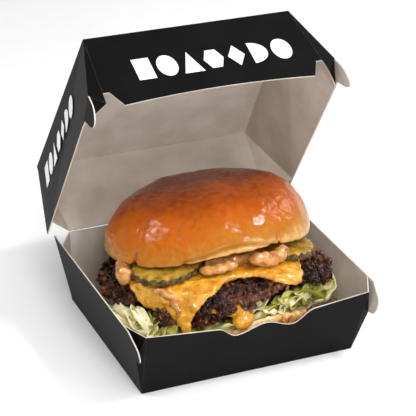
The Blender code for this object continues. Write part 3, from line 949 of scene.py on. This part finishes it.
@dataclass(frozen=True)
class Patty:
    """Smashed patty: a clotted core with ragged lumps, under a coat of seared crumbs at its rim.

    crumbs holds spacing, smallest radius, largest radius and ball subdivisions for each layer. A hollow
    lifts the rim's underside, and one side is darker.
    """

    node_name: str
    name: str
    seed: int
    lumps: tuple[Drop, ...] = ()
    hollows: tuple[Sector, ...] = ()
    # One side, towards -168 degrees, has a lower tone.
    charred: Sector = Sector(-168.0, 34.0, 0.12)
    voxel: float = 0.75
    rim_from: float = 36.0
    clot_size: float = 6.0
    bit_size: float = 2.8
    char_size: float = 11.0
    crumbs: tuple = ((2.9, 0.8, 1.6, 2), (1.8, 0.45, 0.95, 2), (1.25, 0.3, 0.6, 1))
    crumb_roughness: float = 2.2
    bare_from: float = 33.0
    face_bare_from: float = 38.0

    def core(self) -> Item:
        """Make the core and its tone: painted shade darkens the gaps between lumps, and charred patches and
        one side are darker.
        """
        slab = soft_copy(self.node_name, "slab", self.voxel, 0)
        lumps = [lump.shape(0.0) for lump in self.lumps]
        item = reskin(join(self.name + "_core", [slab, *lumps]), self.voxel, 1)
        local = in_stack(points_of(item))
        under = ramp(local[:, 2], local[:, 2].mean() + 2.0, -4.0)
        out = ramp(reach_of(local), self.rim_from, 8.0)
        for hollow in self.hollows:
            local[:, 2] += hollow.at(local) * under * out
        set_points(item, out_of_stack(local))
        place = points_of(item)
        clots = Bumps(self.clot_size, 2.4, self.seed, 1).ridges(place)
        bits = Bumps(self.bit_size, 2.4, self.seed + 1.0, 1).ridges(place)
        push_out(item, 1.2 * clots + 0.6 * bits - 1.5)
        char = Bumps(self.char_size, 0.42, self.seed + 2.0, 1).at(place) - self.charred.at(local)
        # Painted shade: the tone drops in the hollows between clots and bits, which are pushed in as well.
        set_attribute(item, "tone", np.clip(0.22 + 0.28 * clots + 0.16 * bits + char, 0.0, 0.8))
        return item

    def coat(self, core: Item) -> Item:
        """Scatter crumbs of each size over the core's rim, and return them as one object."""
        local = in_stack(points_of(core))
        reach = reach_of(local)
        flat = np.abs(upward(core, local)) > 0.8
        share = np.where(flat, ramp(reach, self.face_bare_from, 4.0), 1.0)
        layers = []
        for number, (spacing, smallest, largest, detail) in enumerate(self.crumbs):
            layer = new_object(f"{self.name}_layer_{number}", core.data.copy())
            set_attribute(layer, "rim", share * (reach > self.bare_from))
            sizes = {
                "Spacing": spacing * MM,
                "Smallest": smallest * MM,
                "Largest": largest * MM,
                "Roughness": self.crumb_roughness * largest * MM,
                "Detail": detail,
                "Seed": self.seed + number,
                "Material": core.data.materials[0],
            }
            layers.append(CrumbScatter("seared crumbs", sizes, "tone", 900000.0).run(layer))
        return join(self.name + "_crumbs", layers)

    def build(self, finish: Material) -> None:
        """Make the core and its crumbs with the seared beef material."""
        core = self.core()
        core.data.materials.append(finish)
        crumbs = self.coat(core)
        dress(core, BASE, [self.node_name])
        dress(crumbs, BASE)


LOWER_LUMPS = (Drop(-140.0, 50.6, -9.0, (3.2, 2.4, 3.0)),)
UPPER_LUMPS = (
    Drop(-106.0, 49.4, -14.0, (5.0, 2.0, 2.2)),
    Drop(-119.0, 49.0, -13.6, (5.0, 2.0, 2.4)),
    Drop(-138.5, 52.4, -14.0, (3.4, 2.6, 3.2)),
    Drop(-135.0, 51.8, -11.6, (3.0, 2.2, 2.6)),
    Drop(-94.0, 48.6, -13.6, (3.0, 1.8, 2.2)),
    Drop(-38.0, 53.6, -16.4, (5.0, 2.6, 2.8)),
    Drop(-28.0, 52.6, -20.0, (5.0, 2.8, 2.6)),
    Drop(-163.0, 50.6, -14.6, (5.0, 2.2, 2.8)),
    Drop(-176.0, 52.4, -16.4, (5.0, 2.4, 2.8)),
)


@dataclass(frozen=True)
class Slice:
    """Melted cheese slice with a swollen edge and drips; plane is its height in the stack frame."""

    node_name: str
    name: str
    plane: float
    seed: float
    drops: tuple[Drop, ...]

    def build(self, finish: Material) -> None:
        """Make the slice with a melted cheese material."""
        slab = soft_copy(self.node_name, "slab", 0.6, 0)
        drops = [drop.shape(self.plane) for drop in self.drops]
        item = reskin(join(self.name, [slab, *drops]), 0.5, 5)
        place = points_of(item)
        lumps = Bumps(8.0, 0.6, self.seed).at(place) + Bumps(3.2, 0.55, self.seed + 1.0, 3).at(place)
        push_out(item, lumps + Bumps(1.7, 0.2, self.seed + 2.0, 1).at(place) + 0.4)
        item.data.materials.append(finish)
        dress(item, BASE, [self.node_name])


UPPER_DROPS = (
    Drop(-152.0, 50.4, -1.0, (3.6, 1.4, 1.8)),
    Drop(-143.0, 51.2, 3.6, (4.6, 1.6, 2.4)),
    Drop(-136.0, 51.4, 2.4, (3.0, 1.5, 2.0)),
    Drop(-128.5, 51.8, 10.0, (2.0, 1.6, 4.0)),
    Drop(-126.5, 52.0, 14.2, (2.2, 1.8, 2.8)),
    Drop(-119.5, 51.6, 1.2, (2.4, 1.4, 2.2)),
    Drop(-66.0, 51.2, 0.6, (2.4, 1.5, 1.8)),
)
LOWER_DROPS = (
    Drop(-96.5, 45.8, 4.0, (4.6, 3.0, 5.0)),
    Drop(-99.5, 44.4, 0.6, (6.4, 2.6, 3.4)),
)


@dataclass(frozen=True)
class PickleSlice:
    """Thick crinkle-cut pickle slice: olive flesh inside a dark bumpy skin."""

    node_name: str
    name: str
    seed: float
    skin: float = 1.0
    ridges: int = 23
    ridge_height: float = 0.45
    pits: float = 0.2
    face_swell: Bumps = Bumps(7.0, 0.25, 3.0)

    def build(self, flesh: Material, rind: Material) -> None:
        """Make the slice, with one material on its cut faces and one on its skin."""
        item = soft_copy(self.node_name, self.name, 0.45, 3)
        local = in_stack(points_of(item))
        middle = (local.min(0) + local.max(0)) / 2
        reach = reach_of(local - middle)
        edge = ramp(reach, reach.max() - 2.5, 2.0)
        place = points_of(item)
        wander = Bumps(9.0, 2.0, self.seed).at(place)
        crinkle = edge * self.ridge_height * np.sin(self.ridges * angle_of(local - middle) + wander)
        pits = Bumps(2.2, self.pits, self.seed + 1.0).at(place)
        push_out(item, crinkle + pits + (1 - edge) * self.face_swell.at(place))
        item.data.materials.append(flesh)
        item.data.materials.append(rind)
        skin = reach_of(in_stack(read(item.data.polygons, "center")) - middle) > reach.max() - self.skin
        item.data.polygons.foreach_set("material_index", skin.astype(int))
        dress(item, BASE, [self.node_name])


@dataclass(frozen=True)
class SauceBlobs:
    """Glossy sauce squeezed out under the crown, over a thinner pool, and run down the cheese."""

    plane: float = 27.0
    pool_reach: float = 33.0
    lumps: tuple[Bumps, ...] = (Bumps(4.5, 0.5, 31.0), Bumps(2.2, 0.3, 32.0))
    blobs: tuple[Drop, ...] = (
        Drop(-162.5, 50.6, 0.0, (4.0, 3.2, 4.2)),
        Drop(-166.5, 49.0, -1.6, (3.4, 2.8, 2.6)),
        Drop(-170.0, 46.5, -1.6, (4.0, 3.0, 2.2)),
        Drop(-115.0, 41.8, -1.6, (3.4, 2.6, 1.9)),
        Drop(-107.6, 40.8, -1.4, (3.8, 2.8, 2.2)),
        Drop(-100.5, 39.6, -1.8, (3.4, 2.6, 1.8)),
        Drop(-82.0, 39.6, -2.2, (3.4, 3.0, 2.8)),
        Drop(-77.0, 40.6, -1.8, (3.4, 3.0, 3.4)),
        Drop(-71.0, 41.4, -1.4, (3.2, 3.0, 3.4)),
        Drop(-65.5, 41.8, -2.2, (3.2, 2.8, 3.2)),
        Drop(-61.0, 41.0, -3.2, (2.8, 2.4, 2.4)),
    )
    streak: tuple[Drop, ...] = (
        Drop(-139.0, 51.6, 2.6, (3.2, 1.1, 1.3)),
        Drop(-134.6, 52.1, 4.4, (3.0, 1.1, 1.6)),
        Drop(-131.4, 52.6, 7.2, (2.2, 1.1, 2.4)),
        Drop(-129.4, 52.9, 10.8, (1.4, 1.1, 2.8)),
    )

    def build(self) -> None:
        """Make the sauce."""
        pool = soft_copy("sauce", "pool", 0.7, 0)
        local = in_stack(points_of(pool))
        local[:, :2] *= np.minimum(1.0, self.pool_reach / np.maximum(reach_of(local), 1.0))[:, None]
        set_points(pool, out_of_stack(local))
        drops = [drop.shape(self.plane) for drop in self.blobs + self.streak]
        item = reskin(join("glossy_sauce", [pool, *drops]), 0.5, 9)
        place = points_of(item)
        push_out(item, 0.3 + sum(lump.at(place) for lump in self.lumps))
        item.data.materials.append(SAUCE.material())
        dress(item, BASE, ["sauce"])


# ------------------------------------------------------------------ lettuce


@dataclass(frozen=True)
class TrayRoom:
    """The space inside the tray's sloping walls, for keeping loose food off the board.

    Each wall has its distance from the tray's middle at the floor and at the rim.
    """

    floor: float = 1.2
    clearance: float = 1.3
    left: tuple[float, float] = (51.4, 58.8)
    right: tuple[float, float] = (51.4, 60.2)
    front: tuple[float, float] = (41.5, 50.5)
    back: tuple[float, float] = (46.1, 50.5)

    def keep(self, points: Points) -> Points:
        """Push points that lie in or beyond the floor and walls back inside, all in metres."""
        low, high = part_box("tray")
        made = points.copy()
        made[:, 2] = np.maximum(made[:, 2], self.floor * MM)
        rise = np.clip(made[:, 2] / (high.z - low.z), 0, 1)
        left, right, front, back = (
            (wall[0] + (wall[1] - wall[0]) * rise - self.clearance) * MM
            for wall in (self.left, self.right, self.front, self.back)
        )
        made[:, 0] = np.clip(made[:, 0], -left, right)
        made[:, 1] = np.clip(made[:, 1], -front, back)
        return made


def thicken(item: Item, thickness: float) -> None:
    """Give a strip its thickness, half to each side, and shade it smooth."""
    settle(modified(item, "SOLIDIFY", thickness=thickness * MM, offset=0.0))
    shade_smooth(item)


@dataclass(frozen=True)
class Ribbon:
    """One long strip of leaf along a curve, with ruffled edges.

    path holds an angle, a reach and a height above the sagging layers for each control point. tone is the
    share of green at the middle, and rim_tone what the edges have more.
    """

    path: tuple
    width: float
    tone: float
    tilt: float
    ruffle: float
    seed: int
    rim_tone: float = 0.35
    cup: float = 0.25
    waves: float = 11.0
    rows: int = 26
    columns: int = 4

    def spine(self, along: float) -> Vector:
        """Point on the smooth curve at a share of its length, in the stack frame."""
        points = [rim_point(*knot) for knot in self.path]
        while len(points) > 1:
            points = [a.lerp(b, along) for a, b in zip(points, points[1:])]
        return points[0]

    def section(self, along: float, phase: float) -> list[Vector]:
        """Points across the strip at a share of its length, with the ruffle's phase."""
        ahead = (self.spine(min(1.0, along + 0.02)) - self.spine(max(0.0, along - 0.02))).normalized()
        across = ahead.cross(Vector((0, 0, 1))).normalized()
        across = Matrix.Rotation(math.radians(self.tilt), 3, ahead) @ across
        up = across.cross(ahead)
        half = self.width / 2 * math.sqrt(max(0.05, 1 - (2 * along - 1) ** 6))
        made = []
        for side in np.linspace(-1, 1, self.columns + 1).tolist():
            wave = self.ruffle * math.sin(self.waves * along + phase + 2.2 * side) * (0.35 + abs(side))
            curl = self.cup * self.width * side * side
            made.append(self.spine(along) + across * side * half + up * (wave + curl))
        return made

    def build(self, thickness: float) -> Item:
        """Make the strip with its tone stored."""
        phase = np.random.default_rng(900 + self.seed).uniform(0, FULL_TURN)
        rows = [self.section(k / self.rows, phase) for k in range(self.rows + 1)]
        item = strip_of("leaf_strip", rows, stack_matrix())
        set_attribute(item, "tone", np.tile(np.abs(np.linspace(-1, 1, self.columns + 1)), self.rows + 1))
        thicken(item, thickness)
        drift = 0.2 * grain(points_of(item), 3.0, float(self.seed))
        set_attribute(item, "tone", self.tone + self.rim_tone * attribute_of(item, "tone") + drift)
        return item


STRIPS = (
    Ribbon(((-140, 49, 12), (-141, 54, 11), (-144, 56, 6), (-145, 55, 1)), 4.8, 0.78, 0.0, 0.3, 1),
    Ribbon(((-133, 49, 9), (-133, 53, 8), (-134, 55, 4), (-135, 54, 0)), 4.2, 0.62, -10.0, 0.3, 2),
    Ribbon(((-172, 53, 10), (-164, 54, 14), (-157, 55, 12), (-152, 54, 6)), 7.0, 0.02, 25.0, 1.3, 3),
    Ribbon(((-163, 54, 12), (-157, 56, 13), (-150, 56, 9), (-147, 54, 2)), 8.0, 0.08, -15.0, 1.2, 4),
    Ribbon(((-155, 51, 14), (-150, 54, 14), (-146, 55, 10), (-142, 54, 6)), 5.5, 0.0, 30.0, 1.2, 5),
    Ribbon(((-158, 55, 5), (-152, 57, 8), (-147, 56, 6), (-141, 55, 2)), 6.0, 0.15, 10.0, 1.0, 6),
    Ribbon(((-178, 53, 8), (-172, 55, 11), (-167, 54, 9), (-163, 53, 5)), 4.5, 0.3, -20.0, 0.9, 7),
    Ribbon(((-87, 39, 5), (-85, 42, 8), (-81, 42, 10), (-78, 40, 12)), 5.5, 0.12, 20.0, 0.7, 8),
    Ribbon(((-80, 42, 6), (-70, 44, 10), (-61, 44, 9), (-52, 45, 8)), 2.6, 0.3, 30.0, 1.1, 9),
    Ribbon(((-76, 43, 9), (-66, 45, 12), (-58, 45, 12), (-48, 48, 12)), 3.0, 0.5, -25.0, 1.1, 10),
    Ribbon(((-57, 43, 10), (-50, 47, 11), (-43, 50, 9), (-40, 51, 3)), 5.2, 0.78, -10.0, 0.3, 11),
    Ribbon(((-70, 43, 6), (-60, 45, 7), (-52, 46, 8), (-44, 47, 7)), 2.6, 0.08, 15.0, 1.2, 12),
    Ribbon(((-84, 43, 8), (-78, 44, 5), (-72, 45, 4), (-66, 44, 5)), 2.2, 0.0, -20.0, 1.0, 16),
    Ribbon(((-74, 45, 12), (-69, 46, 9), (-66, 46, 6), (-60, 45, 4)), 2.4, 0.45, 10.0, 0.9, 17),
    Ribbon(((-60, 45, 12), (-56, 47, 10), (-52, 47, 7), (-50, 46, 4)), 2.4, 0.15, -15.0, 1.0, 18),
    Ribbon(((-44, 49, 4), (-34, 55, 3), (-24, 56, 4), (-20, 54, 12)), 6.5, 0.06, -35.0, 0.7, 13),
    Ribbon(((-40, 48, 7), (-32, 52, 9), (-25, 53, 7), (-18, 52, 6)), 5.0, 0.25, 20.0, 0.9, 14),
    Ribbon(((-112, 42, 2), (-107, 45, 4), (-101, 45, 4), (-97, 43, 3)), 3.2, 0.05, -10.0, 0.6, 15),
)


@dataclass(frozen=True)
class Lettuce:
    """Shredded lettuce: a crumpled core under a heap of curled shreds and long strips.

    The heap's tops are heights in the stack frame: under the lower patty, under the upper patty's edge, and
    in the open. Its reaches say how far it spills at the front, which front marks, and elsewhere.
    """

    shapes: int = 12
    seed: int = 5
    spacing: float = 2.2
    thickness: float = 0.4
    crumple: Bumps = Bumps(4.5, 2.2, 41.0, 2)
    spills: tuple[Sector, ...] = (Sector(-152.0, 34.0), Sector(-35.0, 26.0, 0.8))
    front: Sector = Sector(-76.0, 26.0)
    front_reach: float = 42.0
    side_reach: float = 60.0
    lower_top: float = 3.6
    upper_top: float = 12.9
    open_top: float = 16.0
    heel_reach: float = 47.0
    heel_lip: float = 2.6
    heel_lip_from: float = 34.0
    fall: float = 30.0

    def shred(self, number: int) -> Item:
        """Make one curled shred along x at the origin.

        Args:
            number: Which of the shapes to make.

        Returns:
            The shred, with a share of leaf that grows towards its edges in its "vein" attribute.
        """
        chance = np.random.default_rng(self.seed * 100 + number)
        length = chance.uniform(7.0, 16.0)
        width = chance.uniform(2.0, 4.6)
        curl = chance.uniform(0.6, 2.4) * chance.choice((-1, 1))
        twist = chance.uniform(-1.6, 1.6)
        phase = chance.uniform(0, FULL_TURN)
        rows = []
        for along in (k / 9 - 0.5 for k in range(10)):
            rise = length * 0.25 * (math.cos(2 * curl * along) - 1) * np.sign(curl)
            spine = Vector((length * along, 1.6 * math.sin(4.0 * along + phase), rise))
            half = width / 2 * math.sqrt(max(0.08, 1 - (2 * along) ** 4))
            row = []
            for side in (-1.0, 0.0, 1.0):
                ruffle = 0.8 * math.sin(13.0 * along + phase + 2.0 * side) * abs(side)
                offset = Vector((0.0, side * half, ruffle + 0.2 * half * side * side))
                row.append(spine + Matrix.Rotation(twist * along, 3, "X") @ offset)
            rows.append(row)
        item = strip_of(f"shred_{number}", rows, Matrix.Identity(4))
        thicken(item, self.thickness)
        set_attribute(item, "vein", 0.25 * np.abs(points_of(item)[:, 1]) / (width / 2 * MM))
        return item

    def heap(self, core: Item, finish: Material) -> Item:
        """Strew the shreds over the core's outer rim.

        Args:
            core: The core.
            finish: The lettuce material.

        Returns:
            All the shreds as one mesh object.
        """
        shapes = bpy.data.collections.new("shreds")
        bpy.context.scene.collection.children.link(shapes)
        for number in range(self.shapes):
            shape = self.shred(number)
            bpy.context.scene.collection.objects.unlink(shape)
            shapes.objects.link(shape)
        item = new_object("lettuce_shreds", core.data.copy())
        local = in_stack(points_of(item))
        spill = np.clip(sum(sector.at(local) for sector in self.spills) + 0.3, 0, 1)
        rising = np.clip(0.4 + normals_of(item)[:, 2], 0, 1)
        outside = reach_of(local) > edge_reach("lower_patty", local)
        set_attribute(item, "rim", spill * rising * outside)
        sizes = {"Shreds": shapes, "Spacing": self.spacing * MM, "Seed": self.seed, "Material": finish}
        ShredScatter("lettuce heap", sizes, "leafiness", 200000.0).run(item)
        set_attribute(item, "tone", attribute_of(item, "vein") + attribute_of(item, "leafiness"))
        for shape in list(shapes.objects):
            bpy.data.objects.remove(shape)
        bpy.data.collections.remove(shapes)
        return item

    def tuck(self, item: Item) -> None:
        """Keep the shreds out of the heel and the patties, and off the tray's walls."""
        local = in_stack(points_of(item))
        reach = reach_of(local)
        front = self.front.at(local)
        limit = self.front_reach + (1 - front) * (self.side_reach - self.front_reach)
        eased = np.minimum(reach, limit + 0.2 * (reach - limit))
        local[:, :2] *= (eased / np.maximum(reach, 1.0))[:, None]
        reach = reach_of(local)
        under = ramp(reach, edge_reach("lower_patty", local), -1.5)
        roofed = ramp(reach, edge_reach("upper_patty", local) + 1.0, -1.5)
        outside = roofed * self.upper_top + (1 - roofed) * self.open_top
        ceiling = under * self.lower_top + (1 - under) * outside
        heel = ramp(reach, self.heel_reach, -2.0)
        lip = self.heel_lip * front * ramp(reach, self.heel_lip_from, 4.0)
        floor = lip - (1 - heel) * self.fall * (1 - front)
        sag = droop(local)
        local[:, 2] = np.clip(local[:, 2], floor - sag, np.maximum(ceiling, floor + 0.6) - sag)
        set_points(item, TrayRoom().keep(out_of_stack(local)))

    def core(self) -> Item:
        """Make the crumpled core."""
        item = soft_copy("lettuce", "lettuce_core", 0.8, 2)
        place = points_of(item)
        crumple = 0.9 * self.crumple.ridges(place)
        push_out(item, crumple - 0.9)
        set_points(item, TrayRoom().keep(points_of(item)))
        set_attribute(item, "tone", 0.75 + Bumps(5.0, 0.3, 42.0).at(place) - 0.15 * crumple)
        return item

    def build(self) -> None:
        """Make the core, the shreds and the long strips."""
        finish = LEAF.material()
        core = self.core()
        core.data.materials.append(finish)
        shreds = self.heap(core, finish)
        self.tuck(shreds)
        strips = join("lettuce_strips", [strip.build(self.thickness) for strip in STRIPS])
        set_points(strips, TrayRoom().keep(points_of(strips)))
        strips.data.materials.append(finish)
        dress(core, BASE, ["lettuce"])
        dress(shreds, BASE)
        dress(strips, BASE)


# ------------------------------------------------------------------ box


class Side(Enum):
    """Faces of the board, by their place in the list of its materials."""

    OUTSIDE = 0
    INSIDE = 1
    EDGE = 2


@dataclass(frozen=True)
class BoxHalf:
    """Tray or lid: one sheet of board with black outside, pale inside and cut edges.

    middle is a point inside the hollow, in metres. A face is a cut edge if its area over its outline's
    length is below edge_share.
    """

    node_name: str
    name: str
    body: str
    middle: Vector
    edge_share: float = 0.45
    fold: float = 0.3
    flat_angle: float = math.radians(0.6)
    fold_angle: float = math.radians(8.0)

    def side_of(self, face: bmesh.types.BMFace) -> Side:
        """Side of the board that a face belongs to."""
        outline = sum(edge.calc_length() for edge in face.edges)
        if face.calc_area() / outline < self.edge_share * MM:
            return Side.EDGE
        outward = face.normal.dot(face.calc_center_median() - self.middle) > 0
        return Side.OUTSIDE if outward else Side.INSIDE

    def build(self) -> None:
        """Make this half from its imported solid."""
        builder = merged_node(self.node_name)
        bmesh.ops.dissolve_limit(
            builder, angle_limit=self.flat_angle, verts=builder.verts, edges=builder.edges
        )
        bmesh.ops.recalc_face_normals(builder, faces=builder.faces)
        for face in builder.faces:
            face.material_index = self.side_of(face).value
        item = object_from(self.name, builder)
        for finish in (COATED, INSIDE, CORE):
            item.data.materials.append(finish.material())
        settings = {"width": self.fold * MM, "segments": 1, "material": Side.EDGE.value}
        settle(modified(item, "BEVEL", limit_method="ANGLE", angle_limit=self.fold_angle, **settings))
        dress(item, self.body, [self.node_name])


class Shape(Enum):
    """Plain shapes of the printed rows."""

    DISC = "disc"
    SQUARE = "square"
    TRIANGLE = "triangle"
    DIAMOND = "diamond"
    HALF = "half"
    HEXAGON = "hexagon"

    def outline(self) -> list[Vector]:
        """Outline in a square that reaches from -1 to 1 each way."""
        if self is Shape.SQUARE:
            return [Vector(p) for p in ((-0.85, -1), (0.85, -1), (0.85, 1), (-0.85, 1))]
        if self is Shape.TRIANGLE:
            return [Vector(p) for p in ((-1, -1), (1, -1), (0, 1))]
        if self is Shape.DIAMOND:
            return [Vector(p) for p in ((-0.85, 0), (0, -1), (0.85, 0), (0, 1))]
        if self is Shape.HALF:
            turns = np.linspace(-math.pi / 2, math.pi / 2, 25)
            return [Vector((1.7 * math.cos(a) - 0.85, math.sin(a))) for a in turns]
        count = 6 if self is Shape.HEXAGON else 40
        turns = np.linspace(0, 2 * math.pi, count, endpoint=False)
        return [Vector((math.cos(a), math.sin(a))) for a in turns]


ROW = (Shape.SQUARE, Shape.DISC, Shape.TRIANGLE, Shape.HEXAGON, Shape.DIAMOND, Shape.HALF, Shape.DISC)


@dataclass(frozen=True)
class PrintedRow:
    """Row of plain white shapes on one wall of the lid; place takes a length and a height to the wall."""

    name: str
    place: Callable[[float, float], Vector]
    start: float
    end: float
    low: float
    high: float
    fill: float = 0.86

    def build(self, ink: Material) -> None:
        """Make the row with the printing ink."""
        builder = bmesh.new()
        step = (self.end - self.start) / len(ROW)
        middle, half = (self.low + self.high) / 2, (self.high - self.low) / 2
        for number, shape in enumerate(ROW):
            centre = self.start + step * (number + 0.5)
            corners = [
                self.place(centre + p.x * step / 2 * self.fill, middle + p.y * half)
                for p in shape.outline()
            ]
            builder.faces.new([builder.verts.new(c * MM) for c in corners])
        bmesh.ops.transform(builder, matrix=lid_matrix(), verts=builder.verts)
        item = object_from(self.name, builder)
        item.data.materials.append(ink)
        dress(item, LID)


@dataclass(frozen=True)
class LidPrint:
    """The printed rows on the lid's front wall and side walls, laid out on the shut lid.

    front_y holds the front wall's y at the top and at the rim, top_half the top's half width at the front
    and at the back, and rim_half the left and the right rim's, which grow by the flare towards the back.
    """

    top: float = 73.0
    rim: float = 34.4
    lift: float = 0.06
    front_y: tuple[float, float] = (-45.8, -51.6)
    back_y: float = 52.0
    top_half: tuple[float, float] = (49.7, 54.7)
    rim_half: tuple[float, float] = (60.4, 61.2)
    flare: float = 1.5

    def fallen(self, z: float) -> float:
        """How far down a wall a height lies, from 0 at the top to 1 at the rim."""
        return (self.top - z) / (self.top - self.rim)

    def front(self, x: float, z: float) -> Vector:
        """Point just outside the front wall."""
        top, rim = self.front_y
        return Vector((x, top + (rim - top) * self.fallen(z) - self.lift, z))

    def side(self, hand: int, y: float, z: float) -> Vector:
        """Point just outside the left (hand -1) or right (hand 1) side wall."""
        along = (y - self.front_y[0]) / (self.back_y - self.front_y[0])
        top = self.top_half[0] + (self.top_half[1] - self.top_half[0]) * along
        rim = self.rim_half[0 if hand < 0 else 1] + self.flare * along
        half = top + (rim - top) * self.fallen(z) + self.lift * 1.1
        return Vector((hand * half, y, z + self.lift * 0.3))

    def left(self, y: float, z: float) -> Vector:
        """Point just outside the left side wall."""
        return self.side(-1, y, z)

    def right(self, y: float, z: float) -> Vector:
        """Point just outside the right side wall."""
        return self.side(1, y, z)

    def build(self) -> None:
        """Make all the rows."""
        ink = INK.material()
        PrintedRow("print_front", self.front, -35.0, 42.0, 44.5, 56.9).build(ink)
        PrintedRow("print_left", self.left, 40.0, -22.0, 52.5, 63.5).build(ink)
        PrintedRow("print_right", self.right, -22.0, 40.0, 52.5, 63.5).build(ink)


# ------------------------------------------------------------------ studio


@dataclass(frozen=True)
class Lamp:
    """Square light that points at the burger: direction to it, distance and side in metres, and watts."""

    name: str
    toward: tuple[float, float, float]
    away: float
    size: float
    power: float
    glossy: bool = True

    def build(self, target: Vector) -> None:
        """Make the light, which shows in glossy surfaces only if it is glossy."""
        toward = Vector(self.toward)
        data = bpy.data.lights.new(self.name, "AREA")
        data.size = self.size
        data.energy = self.power
        item = bpy.data.objects.new(self.name, data)
        item.location = target + toward.normalized() * self.away
        item.rotation_euler = toward.to_track_quat("Z", "Y").to_euler()
        item.visible_glossy = self.glossy
        bpy.context.scene.collection.objects.link(item)


@dataclass(frozen=True)
class Studio:
    """Pale floor, soft lights and the camera, in metres, radians and watts."""

    azimuth: float = math.radians(-24.72)
    elevation: float = math.radians(27.41)
    roll: float = math.radians(1.71)
    distance: float = 0.86526
    lens: float = 158.05
    sensor: float = 36.0
    target: Vector = Vector((0.014621, 0.038702, 0.040))
    floor_half: float = 6.0
    sky: float = 0.38
    lamp_target: Vector = Vector((0.0, 0.0, 0.05))
    lamps: tuple[Lamp, ...] = (
        Lamp("top", (0.05, -0.2, 1.0), 1.2, 1.0, 4.0, False),
        Lamp("key", (0.56, -0.22, 0.80), 0.8, 0.12, 2.8),
        Lamp("right", (0.87, 0.25, 0.40), 0.8, 0.3, 1.0),
        Lamp("left", (-0.63, 0.22, 0.74), 0.8, 0.11, 1.3),
        Lamp("glint", (-0.03, -1.0, 0.3), 0.9, 0.16, 2.2),
        Lamp("side glint", (0.6, -0.8, 0.45), 0.9, 0.09, 0.6),
        Lamp("front high", (-0.25, -1.0, 0.95), 1.0, 0.5, 3.7, False),
        Lamp("front low", (-0.45, -1.0, 0.3), 1.0, 0.6, 0.8, False),
    )

    def camera(self) -> None:
        """Place the camera on its line of sight to the target."""
        level = Vector((math.sin(self.azimuth), -math.cos(self.azimuth), 0.0)) * math.cos(self.elevation)
        back = level + Vector((0.0, 0.0, math.sin(self.elevation)))
        right = Vector((0, 0, 1)).cross(back).normalized()
        axes = Matrix((right, back.cross(right), back)).transposed() @ Matrix.Rotation(self.roll, 3, "Z")
        data = bpy.data.cameras.new("camera")
        data.lens = self.lens
        data.sensor_width = self.sensor
        data.clip_start, data.clip_end = 0.05, 20.0
        item = bpy.data.objects.new("camera", data)
        item.matrix_world = Matrix.Translation(self.target + back * self.distance) @ axes.to_4x4()
        bpy.context.scene.collection.objects.link(item)
        bpy.context.scene.camera = item

    def lay_floor(self) -> None:
        """Lay the paper that the box stands on."""
        builder = bmesh.new()
        bmesh.ops.create_grid(builder, x_segments=1, y_segments=1, size=self.floor_half)
        floor = object_from("studio_floor", builder)
        floor.data.materials.append(PAPER.material())

    def build(self) -> None:
        """Make the floor, world, lights and camera."""
        self.lay_floor()
        world = bpy.data.worlds.new("studio")
        bpy.context.scene.world = world
        world.use_nodes = True
        sky = {"Color": linear("#ffffff"), "Strength": self.sky}
        feed(world.node_tree, world.node_tree.nodes["Background"], sky)
        for lamp in self.lamps:
            lamp.build(self.lamp_target)
        self.camera()
        bpy.context.scene.view_settings.view_transform = "Standard"


def main() -> None:
    """Build every piece, the box and the studio."""
    logging.basicConfig(level=logging.INFO, format="%(name)s: %(message)s")
    BoxHalf("tray", "tray_board", BASE, Vector((0.0, 0.0, 0.022))).build()
    BoxHalf("lid", "lid_board", LID, lid_matrix() @ Vector((0.0, 0.0, 0.050))).build()
    LidPrint().build()
    BottomBun().build()
    Lettuce().build()
    beef = SEARED.material()
    Patty("lower_patty", "lower_smashed_patty", 51, LOWER_LUMPS).build(beef)
    # The lower slice uses the lit copy of the melt, whose brighter colour is painted light.
    Slice("lower_cheese", "lower_melted_cheese", 11.4, 21.0, LOWER_DROPS).build(BEAD.material())
    Patty("upper_patty", "upper_smashed_patty", 61, UPPER_LUMPS, (Sector(-66.0, 24.0, 3.2),)).build(beef)
    Slice("upper_cheese", "upper_melted_cheese", 22.8, 25.0, UPPER_DROPS).build(MELT.material())
    flesh, rind = BRINED.material(), RIND.material()
    PickleSlice("pickle_left", "pickle_slice_left", 71.0).build(flesh, rind)
    PickleSlice("pickle_right", "pickle_slice_right", 75.0).build(flesh, rind)
    SauceBlobs().build()
    TopBun().build()
    Studio().build()


if __name__ == "__main__":
    main()
